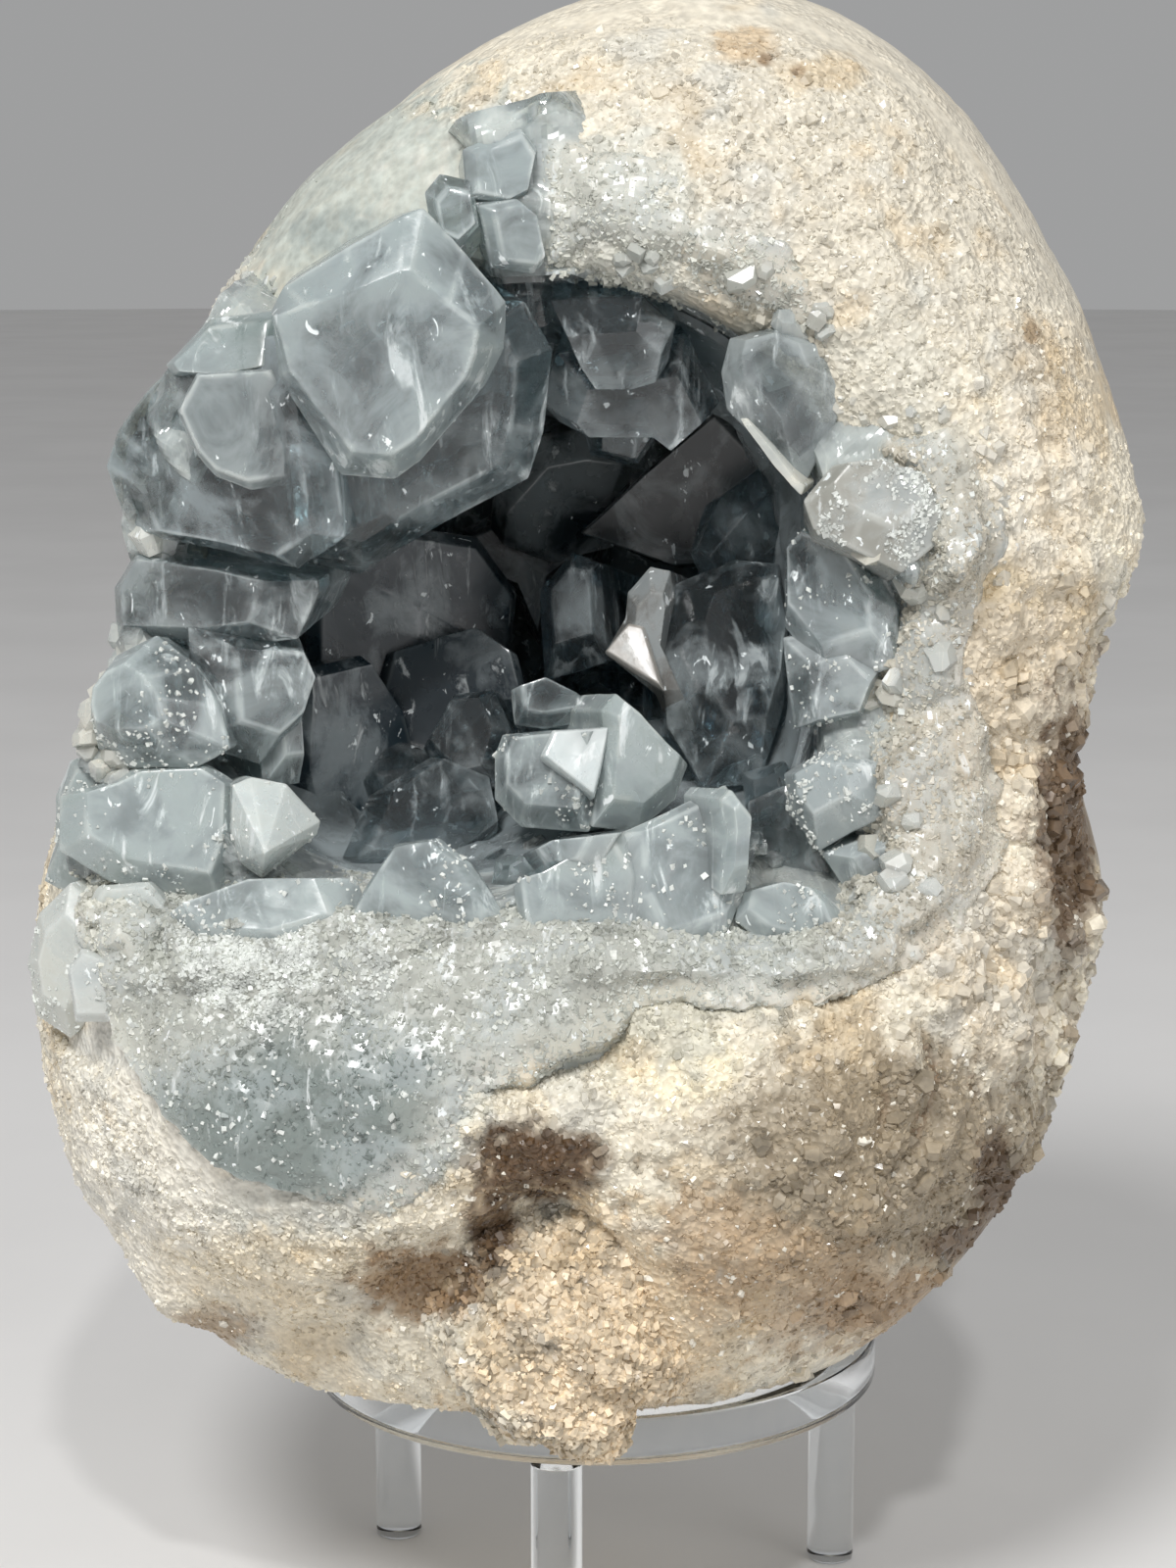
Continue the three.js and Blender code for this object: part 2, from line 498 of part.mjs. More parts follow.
/** The sugary lump that hangs at the stone's lowest point: a ball with uneven radii. */
function bottomLump() {
  const { at, size, bottom, front, unevenness, wave } = BOTTOM_LUMP;
  const ball = new THREE.IcosahedronGeometry(1, 3);
  const geometry = mergeVertices(ball.deleteAttribute('uv').deleteAttribute('normal'), 1e-4);
  const place = geometry.attributes.position;
  const p = new THREE.Vector3();
  for (let k = 0; k < place.count; k += 1) {
    p.fromBufferAttribute(place, k);
    const reach = 1 + unevenness * (chance(k) - 0.5)
      + wave.height * Math.sin(wave.x * p.x + wave.z * p.z);
    p.multiplyScalar(reach).multiply(new THREE.Vector3(...size)).add(new THREE.Vector3(...at));
    const level = p.y < front ? bottom : FLAT_BOTTOM;
    place.setXYZ(k, p.x, p.y, Math.max(p.z, level));
  }
  return solidOf(geometry);
}

// ---- the crystals --------------------------------------------------------------------------

/** Where the line from the eye through front-view place [u, v] meets a plane. */
function onSight([u, v], plane) {
  const seen = new THREE.Vector3(u, v * Math.sin(VIEW_TURN), v * Math.cos(VIEW_TURN));
  const ray = new THREE.Ray(EYE, seen.sub(EYE).normalize());
  return ray.intersectPlane(plane, new THREE.Vector3());
}

/** A polygon carried through rings along its normal; `grow` swells it about its middle. */
function gem(outline, normal, rings, grow) {
  const middle = new THREE.Vector3();
  outline.forEach((p) => middle.addScaledVector(p, 1 / outline.length));
  const right = new THREE.Vector3(1, 0, 0).addScaledVector(normal, -normal.x).normalize();
  const up = new THREE.Vector3().crossVectors(normal, right);
  if (up.z < 0) up.negate();
  const heights = rings.map((ring) => ring.height);
  const centre = (Math.max(...heights) + Math.min(...heights)) / 2;
  const heart = middle.clone().addScaledVector(normal, centre);
  const placed = rings.map(({ height, size, shift = [0, 0] }) => outline.map((p) => {
    const q = p.clone().sub(middle).multiplyScalar(size).add(middle);
    q.addScaledVector(right, shift[0]).addScaledVector(up, shift[1]).addScaledVector(normal, height);
    return q.sub(heart).multiplyScalar(grow).add(heart);
  }));
  return solidOf(outward(loft(placed)));
}

/** A tablet from its table row: its bevelled front face, its full outline, its buried back. */
function tablet({ depth, turn, face, thick, outline }, grow = 1) {
  const normal = new THREE.Vector3(turn[0], -1, turn[1]).normalize();
  const [size, rise, right, up] = face;
  const mid = [0, 1].map((k) => outline.reduce((sum, p) => sum + p[k], 0) / outline.length);
  const front = new THREE.Plane(new THREE.Vector3(0, 1, 0), -depth);
  const plane = new THREE.Plane().setFromNormalAndCoplanarPoint(normal, onSight(mid, front));
  const rings = [
    { height: rise, size, shift: [right, up] },
    { height: 0, size: 1 },
    { height: -thick, size: BACK_SIZE },
  ];
  return gem(outline.map((p) => onSight(p, plane)), normal, rings, grow);
}

/** A six-sided crystal that stands on the hollow's wall and narrows to its tip. */
function prism(root, tip, width, seed) {
  const along = tip.clone().sub(root);
  const length = along.length();
  along.normalize();
  const side = new THREE.Vector3(chance(seed) - 0.5, chance(seed + 1) - 0.5, chance(seed + 2) - 0.5);
  side.addScaledVector(along, -side.dot(along)).normalize();
  const across = new THREE.Vector3().crossVectors(along, side);
  const thickness = width * between(PRISM.flatness, seed + 3);
  const outline = HEXAGON.map(([a, b]) => root.clone()
    .addScaledVector(side, (a * width) / 2).addScaledVector(across, (b * thickness) / 2));
  const rings = [
    { height: length, size: between(PRISM.tipSize, seed + 5) },
    { height: length * between(PRISM.shoulder, seed + 4), size: 1 },
    { height: -PRISM.foot, size: BACK_SIZE },
  ];
  return gem(outline, along, rings, 1);
}

/** All prisms of the hollow's wall, in rings, each leaning towards the opening. */
function prisms() {
  const made = [];
  PRISM_RINGS.forEach(({ along, count, length, width }, ring) => {
    const stagger = 0.5 * (ring % 2);
    for (let k = 0; k < count; k += 1) {
      const seed = 31 * ring + 7 * k + 3; // a different one for each prism
      const turn = (k + stagger + 0.5 * (chance(seed) - 0.5)) / count;
      const root = wallPoint(turn, along, 1);
      const forward = between(PRISM.aimForward, seed + 8);
      const aim = onClock(turn, between(PRISM.aimRadius, seed + 6), root.y - forward);
      const out = aim.sub(root).normalize();
      const tip = root.clone().addScaledVector(out, length * between(PRISM.lengthScale, seed + 9));
      made.push(prism(root, tip, width * between(PRISM.widthScale, seed + 10), seed));
    }
  });
  return made;
}

/** The hollow's wall as rings, drawn in by `inset`. */
function wallRings(inset) {
  return LINING_PARTS.map((part) => clockRing((turn) => wallPoint(turn, part, inset), LINING_STEPS));
}

/** The room of the hollow, open to well in front of the stone. */
function hollowRoom() {
  const wall = wallRings(WALL_CLEARANCE);
  const before = wall[0].map((p) => new THREE.Vector3(p.x, -EGG.halfHeight, p.z));
  return solidOf(outward(loft([before, ...wall])));
}

/** The crust's thin cup between the crystals, just clear of the hollow's wall. */
function crustLining() {
  return solidOf(outward(loft([...wallRings(WALL_CLEARANCE).reverse(), ...wallRings(LINING)])));
}

const inner = [...INNER_TABLETS.map((row) => tablet(row)), ...prisms()];
const inHollow = wasm.Manifold.union(inner).intersect(hollowRoom());
const onRim = RIM_TABLETS.map((row) => tablet(row));
const crust = largestBody(wasm.Manifold.union([crustLining(), inHollow, ...onRim]));

// The stone leaves room for the rim's crystals, each grown until its nearest face moves by GAP.
const grow = 1 + GAP / HEART_DEPTH;
const room = wasm.Manifold.union(RIM_TABLETS.map((row) => tablet(row, grow)));
const rind = largestBody(stoneShell().add(bottomLump()).subtract(room));

// ---- the stand -----------------------------------------------------------------------------

function turned(profile, sides) {
  const points = profile.map(([radius, height]) => new THREE.Vector2(radius, height));
  return new THREE.LatheGeometry(points, sides).rotateX(Math.PI / 2);
}

function ringGeometry() {
  const { outer, inner: hole, height } = RING;
  return turned([[hole, 0], [outer, 0], [outer, height], [hole, height], [hole, 0]], RING_SIDES);
}

function legGeometry() {
  const { radius, length, taper } = LEG;
  const foot = [[0, 0], [radius - taper, 0], [radius, taper]];
  return turned([...foot, [radius, length], [0, length]], LEG_SIDES);
}

function stand() {
  const group = new THREE.Group();
  const ring = new THREE.Mesh(ringGeometry(), acrylic);
  ring.name = 'stand_ring';
  ring.position.set(RING.x, RING.y, RING.top - RING.height);
  group.add(ring);
  const foot = RING.top - RING.height - GAP - LEG.length;
  for (let k = 0; k < 3; k += 1) {
    const angle = THREE.MathUtils.degToRad(LEG.first + 120 * k);
    const leg = new THREE.Mesh(legGeometry(), acrylic);
    leg.name = `stand_leg_${k + 1}`;
    leg.position.set(RING.x + LEG.circle * Math.cos(angle), RING.y + LEG.circle * Math.sin(angle), foot);
    group.add(leg);
  }
  return group;
}

// ---- the object ----------------------------------------------------------------------------

function named(name, solid, material) {
  const mesh = new THREE.Mesh(geometryOf(solid), material);
  mesh.name = name;
  return mesh;
}

const geode = new THREE.Group();
geode.add(named('geode_rind', rind, stone), named('crystal_crust', crust, crystal), stand());

const box = new THREE.Box3().setFromObject(geode);
const centre = box.getCenter(new THREE.Vector3());
geode.position.set(-centre.x, -centre.y, -box.min.z);
geode.updateMatrixWorld(true);

export default geode;
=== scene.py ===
"""Celestite geode on a clear three-legged stand: the finish of every surface.

The stone is an egg round an opening whose axis runs along Y. A place on it has a clock turn, 0 to
1 from the top and clockwise as seen from the front, and a part of the way from the back's pole
over the crest and the broken face to the hollow's back. Crystals are flat-faced tablets, each
given by the outline that the eye sees and the depth and turn of its face.

Tables are in millimetres from the middle of the egg: x to the right, y to the back, z up. The
function home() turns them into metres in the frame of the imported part.
"""

import math

import bpy
import numpy as np
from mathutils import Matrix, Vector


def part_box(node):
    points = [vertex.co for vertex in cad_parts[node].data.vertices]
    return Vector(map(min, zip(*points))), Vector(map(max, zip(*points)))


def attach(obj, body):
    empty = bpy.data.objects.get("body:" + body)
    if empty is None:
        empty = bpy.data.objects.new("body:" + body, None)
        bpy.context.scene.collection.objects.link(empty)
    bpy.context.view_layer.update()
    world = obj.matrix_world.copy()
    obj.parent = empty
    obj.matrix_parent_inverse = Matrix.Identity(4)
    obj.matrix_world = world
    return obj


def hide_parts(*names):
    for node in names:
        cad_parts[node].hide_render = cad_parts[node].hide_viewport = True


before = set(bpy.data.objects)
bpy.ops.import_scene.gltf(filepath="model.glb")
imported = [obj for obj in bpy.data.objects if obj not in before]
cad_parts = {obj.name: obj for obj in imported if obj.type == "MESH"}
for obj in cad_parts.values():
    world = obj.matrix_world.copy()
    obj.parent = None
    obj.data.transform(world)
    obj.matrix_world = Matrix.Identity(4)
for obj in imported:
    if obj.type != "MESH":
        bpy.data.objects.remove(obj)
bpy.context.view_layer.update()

# ---- the stone's and the stand's driving dimensions --------------------------------------------

MM = 0.001
HALF_WIDTH, HALF_DEPTH, HALF_HEIGHT = 70.2, 59.0, 94.5
LEAN, TAPER, EGG_X = 0.2264, 0.11, 1.4
AXIS = np.array([-2.0, 0.0, 8.0])  # the opening's axis, which runs along Y
FLAT_BOTTOM = -79.5
HOLLOW_BACK = 38.0
WALL_FULLNESS = 0.65
POLE = 0.02  # how near a skin's first and last rows come to its poles

# Around the opening, at every 30 degrees clockwise from the top.
CREST_ANGLE = [110, 111, 113, 113, 118, 125, 130, 128, 118, 100, 98, 105]
LIP_RADIUS = [50, 46, 36, 31, 30, 22, 19, 26, 40, 49, 51, 53]
LIP_DEPTH = [-30, -31, -30, -29, -32, -40, -43, -42, -33, -17, -17, -24]
FACE_BULGE = [5, 6, 7, 7, 7, 6, 5, 5, 4, 1, 1, 3]

# How much of the egg's reach is left, at every 15 degrees clockwise from the top.
BROKEN_SIDE = [
    0.99, 0.99, 0.99, 0.985, 0.995, 0.975, 0.89, 0.885, 0.935, 1, 1.01, 1,
    1, 1, 1.01, 1.02, 0.985, 0.92, 0.85, 0.86, 0.94, 0.965, 0.99, 0.985,
]
BROKEN_BACK = (60, 88)

# Lumps and pits: place, radius, lift.
LUMPS = [
    ((-5, -48, -57), 10, -11), ((-20, -42, -63), 8, -6), ((-31, -34, -70), 7, -4),
    ((60, -7, -3), 7, -6), ((63, 2, -22), 15, 4.5), ((56, -16, -16), 5, -4),
    ((54, -19, -30), 5, -4), ((50, -22, -44), 5, -4), ((46, -22, -56), 7, -5),
    ((62, -14, 26), 9, 2.5), ((-50, -22, -66), 6, 3), ((25, -44, -50), 16, 2.5),
    ((-40, -36, -40), 18, 2.5),
]
# The stone's rough swell: height, then two waves, each [x, y, z, phase].
SWELLS = [
    (1.0, (0.41, 0, 0.23, 0), (0, -0.29, 0.37, 1)),
    (0.7, (0.83, 0, -0.61, 2), (0, 0.71, 0.77, 0)),
]
# How much of that swell the ground stone, the broken stone and the milky mass have.
GROUND_SWELL, BROKEN_SWELL, MASS_SWELL = 0.06, 0.6, 0.4
LUMP_AT, LUMP_SIZE = np.array([-3.5, -38.0, -65.0]), np.array([15.5, 13.0, 17.5])
LUMP_BOTTOM, LUMP_FRONT = -82.4, -37.0

RING_X, RING_Y, RING_TOP = 1.0, 2.0, -79.8
RING_OUTER, RING_INNER, RING_HEIGHT = 37.0, 33.0, 6.0
LEG_RADIUS, LEG_LENGTH, LEG_CIRCLE, LEG_GAP = 3.175, 33.0, 35.0, 0.3
FIRST_LEG = -98  # where the front leg stands on the ring, in degrees from the right

EYE = np.array([0.0, -424.0, 71.0])
VIEW_TURN = 0.1833  # how far the eye looks down, in radians
VIEW_UP = np.array([0.0, math.sin(VIEW_TURN), math.cos(VIEW_TURN)])

ring_low, ring_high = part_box("stand_ring")
SHIFT = np.array([
    (ring_low.x + ring_high.x) / 2 / MM - RING_X,
    (ring_low.y + ring_high.y) / 2 / MM - RING_Y,
    ring_high.z / MM - RING_TOP,
])


def home(points):
    """Millimetres from the middle of the egg to metres in the part's own frame."""
    return (np.asarray(points, float) + SHIFT) * MM


# ---- the crystals' faces -----------------------------------------------------------------------
#
# depth: y of the middle of the face. turn: how far the face looks to the right and up. rise: how
# far the front face stands before the outline. thick: how far the buried back lies behind it.
# haze: from clear (0) to milky (1). outline: [right, up] places on the egg's middle plane as the
# eye sees them. front: the bevelled front face, either (size, shift right, shift up) or one place
# for each place of the outline. shade: its own colour; inside the hollow most shades are darkened
# as painted shade, and two pale tablets there are painted highlights. frost: how many tiny
# crystals grew on it.

# The great blades over the hollow's upper left.
GREAT = [
    dict(depth=-41, turn=(0.1, -0.12), rise=4.5, thick=20, haze=0.42, outline=[
        (-40.6, 52.5), (-38.9, 56), (-30.9, 60.9), (-23.7, 65), (-21, 65.9), (-15.6, 60.3),
        (-10.4, 54), (-10.7, 48), (-13, 43.5), (-21.3, 33.8), (-24.6, 31.3), (-31.5, 31.9),
        (-39.5, 44.4),
    ], front=[
        (-40, 52.2), (-36, 53.6), (-30, 55.4), (-23.9, 58), (-22.6, 58), (-17.7, 53.7),
        (-14, 51), (-14.4, 48), (-15.6, 44.5), (-22, 36.5), (-25, 34.5), (-30, 34.8),
        (-38, 45),
    ]),
    dict(depth=-31, turn=(-0.45, -0.1), rise=3, thick=20, haze=0.2, outline=[
        (-61.5, 33), (-60, 37.5), (-56, 43), (-50, 49), (-34, 50), (-31, 24), (-37, 20),
        (-48, 22.5), (-58.5, 24.5),
    ], front=(0.7, 2.5, -1.5), shade=(72, 96, 104)),
    dict(depth=-31, turn=(0.2, -0.3), rise=3, thick=22, haze=0.1, outline=[
        (-38, 42), (-24, 55), (-8, 54), (-4.5, 48), (-5.5, 37.5), (-7.5, 31.5), (-19, 25.5),
        (-29, 19.2), (-35, 20.5),
    ], front=(0.8, -2, 2), shade=(70, 86, 87)),
    dict(depth=-37, turn=(-0.05, 0.0), rise=1.5, thick=10, haze=0.4, outline=[
        (-52.5, 40), (-50, 45), (-40, 45.5), (-37.5, 42.5), (-37.8, 30.7), (-43, 30),
        (-47.5, 31.7), (-50, 34.5),
    ], front=(0.9, 0, 0.5), shade=(112, 118, 114)),
    dict(depth=-33, turn=(-0.3, 0.5), rise=2, thick=14, haze=0.7, outline=[
        (-54, 46), (-48, 52), (-38, 53), (-39, 45.5), (-46, 44), (-53, 44.5),
    ], front=(0.75, 0, -1)),
    dict(depth=-33, turn=(0.2, 0.3), rise=1, thick=14, haze=0.5, outline=[
        (-16, 73.5), (-8.5, 76.5), (-6.5, 73.5), (-7.6, 68), (-10.5, 66.5), (-15.5, 67.5),
    ], front=(0.8, 0.4, -0.5)),
    dict(depth=-34, turn=(0.3, -0.2), rise=1.2, thick=14, haze=0.45, outline=[
        (-14, 66.3), (-9, 67.2), (-7, 65.5), (-5.6, 59), (-7, 57.5), (-12.5, 58.2),
    ], front=(0.78, 0.6, 0.4)),
    dict(depth=-35, turn=(-0.2, 0.3), rise=1.5, thick=14, haze=0.2, outline=[
        (-21, 68), (-19, 70.5), (-15, 69.5), (-14, 64), (-17, 61), (-20, 62.5),
    ], front=(0.7, 1, -1)),
]

# The blocks down the left side.
SIDE = [
    dict(depth=-27, turn=(-0.3, -0.05), rise=3, thick=18, haze=0.2, outline=[
        (-60.5, 17.5), (-57.5, 22.5), (-43, 20.5), (-34.5, 18.5), (-34.3, 17), (-37, 11),
        (-46, 10), (-60, 10.5),
    ], front=(0.7, -2, 1), shade=(104, 110, 106)),
    dict(depth=-27, turn=(0.3, 0), rise=3, thick=18, haze=0.14, outline=[
        (-51, 12.5), (-37, 11.5), (-34.7, 6.5), (-37, -0.5), (-42, -5), (-50, -2.5),
    ], front=(0.62, 2, 1)),
    dict(depth=-31, turn=(-0.2, 0.1), rise=5, thick=18, haze=0.3, outline=[
        (-63, 5), (-60, 9), (-55, 11.5), (-50, 7.5), (-47, 2.5), (-45.5, -3), (-50, -5.5),
        (-58.5, -5.5), (-62.5, -3), (-63.5, 0.5),
    ], front=(0.5, -2, 1.5), frost=150),
    dict(depth=-25, turn=(0.5, 0), rise=2.5, thick=14, haze=0.25, outline=[
        (-42, -2.5), (-37.5, 5), (-36.7, -7.5), (-41.5, -8),
    ], front=(0.5, 1, 2)),
    dict(depth=-32, turn=(-0.1, 0.25), rise=3, thick=20, haze=0.6, outline=[
        (-62.5, -7.5), (-58.5, -5.5), (-48.5, -5), (-44.5, -7.5), (-45, -17.5), (-47, -22.5),
        (-61, -20), (-67.5, -16), (-67.5, -9),
    ], front=(0.76, 1.5, 1), frost=90),
    dict(depth=-36, turn=(0.25, 0.1), rise=8, thick=14, haze=0.85, outline=[
        (-45.5, -7.5), (-43, -6.5), (-38.5, -7.5), (-34, -12.2), (-34.5, -14), (-41.5, -19.7),
        (-44.5, -17.5), (-45.5, -14),
    ], front=(0.06, -1.5, -2.5), shade=(200, 206, 202), frost=40),
    dict(depth=-25, turn=(-0.45, 0.1), rise=2.5, thick=16, haze=0.7, outline=[
        (-68, -9), (-66, -4.5), (-62.5, -3.5), (-60, -6), (-61, -17), (-65, -22),
        (-69.5, -20), (-68, -15),
    ], front=(0.6, 2, 2), frost=120),
    dict(depth=-36.2, turn=(-0.2, 0.1), rise=1, thick=12, haze=0.8, outline=[
        (-64.5, -24), (-62.5, -20.5), (-56, -20), (-52.7, -24), (-54.5, -27.5),
        (-56, -29.5), (-63.5, -29.5), (-65.5, -27.5),
    ], front=(0.8, 0.5, 0.5), shade=(192, 196, 190), frost=80),
    dict(depth=-38.2, turn=(-0.25, 0), rise=1, thick=12, haze=0.85, outline=[
        (-66.5, -31), (-64.5, -28.5), (-59, -30.5), (-56, -32.5), (-61, -38), (-65.5, -38),
    ], front=(0.8, 0, 0.5), shade=(196, 199, 194), frost=70),
    dict(depth=-29, turn=(-0.55, -0.1), rise=2.5, thick=16, haze=0.9, outline=[
        (-70, -24), (-66, -20), (-62, -24), (-62, -36), (-66, -40), (-70.5, -37),
        (-71.5, -30),
    ], front=(0.6, 1.5, 1), shade=(204, 206, 198), frost=90),
    dict(depth=-42, turn=(0, 0.45), rise=2, thick=16, haze=0.55, outline=[
        (-53.5, -24), (-41.5, -19.7), (-29.5, -19.6), (-27, -26), (-37.5, -29), (-50, -28.5),
    ], front=(0.7, -2, 1), frost=60),
]

# The blocks along the edge of the hollow's floor.
FLOOR_EDGE = [
    dict(depth=-44, turn=(-0.1, 0.2), rise=1.8, thick=18, haze=0.5, outline=[
        (-28, -20), (-24.7, -15.2), (-19, -14.4), (-15, -17.5), (-9.5, -25.6),
        (-10.5, -33.7), (-20, -36.8), (-30, -33.7), (-31.5, -26),
    ], front=(0.74, -0.5, 2), frost=120),
    dict(depth=-45, turn=(0.1, 0.2), rise=1.8, thick=16, haze=0.6, outline=[
        (-9.5, -20.5), (-6, -19.5), (5, -13.5), (8.5, -20), (8, -31), (-3.5, -32.5),
        (-8.5, -27.5),
    ], front=(0.78, -1, 1.5), frost=160),
    dict(depth=-43, turn=(0.2, 0.35), rise=1.6, thick=16, haze=0.55, outline=[
        (3.5, -14), (17.5, -7.6), (20, -11), (20.2, -20.5), (17.5, -27.5), (7.5, -31),
        (4, -24),
    ], front=(0.76, 1, 1.5), frost=90),
    dict(depth=-46, turn=(0.55, 0), rise=2, thick=9, haze=0.55, outline=[
        (17, -9.5), (18.2, -8.2), (20.6, -11.2), (20, -21.3), (16.9, -21.8), (17.5, -14),
    ], front=(0.6, 0, 1)),
    dict(depth=-42, turn=(0.25, 0.15), rise=1.4, thick=14, haze=0.6, outline=[
        (19.4, -21.5), (25, -20), (29.7, -21), (32.5, -24), (34.6, -29), (31.2, -30.6),
        (22.5, -28), (18.7, -25),
    ], front=(0.7, -1, 1.5), frost=90),
    dict(depth=-44, turn=(-0.3, 0.1), rise=1.6, thick=12, haze=0.25, outline=[
        (-8.5, -16.5), (-5, -14.7), (4, -13.7), (1, -19), (-6, -19.7),
    ], front=(0.55, 0, 1)),
    dict(depth=-46, turn=(-0.1, -0.25), rise=1.4, thick=14, haze=0.7, outline=[
        (-12, -27), (-5, -26.5), (2.5, -31), (0, -37.5), (-7.5, -38.7), (-11.5, -33.5),
    ], front=(0.5, 1, 1), frost=160),
]

# The blocks down the right side.
RIGHT = [
    dict(depth=-38, turn=(0.05, 0.35), rise=2.4, thick=14, haze=0.8, outline=[
        (27.5, 28.7), (31.2, 33.1), (37.5, 33.7), (45, 31.2), (46.9, 25), (40, 19.4),
        (33.7, 22.5), (28.7, 25),
    ], front=(0.6, 0, 2), shade=(150, 149, 141), frost=450),
    dict(depth=-31, turn=(-0.3, 0.1), rise=2.6, thick=18, haze=0.18, outline=[
        (25, 22.5), (27.5, 25.4), (35, 22.5), (39.4, 15), (40, 7.5), (31.2, 5), (25, 12.5),
    ], front=(0.7, -1, 2), frost=40),
    dict(depth=-31, turn=(-0.25, 0), rise=2.4, thick=18, haze=0.3, outline=[
        (24.7, 11.2), (32.5, 12.5), (37.5, 7.5), (35, 1.2), (26.2, -0.6),
    ], front=(0.6, 1.5, -1), frost=40),
    dict(depth=-35, turn=(-0.3, 0.15), rise=3, thick=16, haze=0.45, outline=[
        (25, -6.2), (31.2, -2.5), (37.5, -5), (38.7, -11.2), (33.7, -13.7), (29.4, -16.2),
        (25.6, -11.2),
    ], front=(0.5, -1, 1.5), frost=160),
    dict(depth=-35, turn=(-0.1, -0.1), rise=2.2, thick=14, haze=0.45, outline=[
        (29.4, -16.2), (37.5, -13.7), (43.7, -16.2), (40, -20), (32.5, -20.6),
    ], front=(0.55, 1, 0.5), frost=90),
    dict(depth=-27, turn=(-0.35, 0.3), rise=2, thick=16, haze=0.2, outline=[
        (20.6, -9.4), (27.5, -6.5), (34, -15), (31, -20.5), (20.6, -20.6),
    ], front=(0.7, -1.5, 1)),
]

# The pointed crystals on the floor.
CLUSTER = [
    dict(depth=-30, turn=(-0.35, 0.2), rise=3, thick=20, haze=0.45, outline=[
        (-12, -4), (-11, -1.2), (-5, -0.6), (2.5, -0.2), (1, -9.7), (0, -13.7),
        (-8.7, -13), (-12, -9.5),
    ], front=(0.72, 1, 1), frost=60),
    dict(depth=-34, turn=(0.15, 0.45), rise=0.8, thick=8, haze=0.9, outline=[
        (-6.1, -4), (-4.6, -0.6), (2.9, -0.1), (1.6, -6.2), (0.8, -9.4),
    ], front=(0.9, 0, 0), shade=(196, 204, 203)),
    dict(depth=-31, turn=(0.4, 0.1), rise=2.6, thick=20, haze=0.6, outline=[
        (1.9, 0), (1.6, 1.9), (3.5, 4.2), (5.6, 2.5), (10, -2.5), (12.7, -5),
        (11.2, -9.4), (6.2, -13.7), (0.5, -13),
    ], front=(0.7, 0, 1)),
    dict(depth=-20, turn=(0, 0.3), rise=2, thick=12, haze=0.15, outline=[
        (-10, 4.5), (-5.6, 6), (0, 3.2), (1, 0.6), (-5.5, -0.6), (-9.4, 0),
    ], front=(0.7, 0, 1)),
]
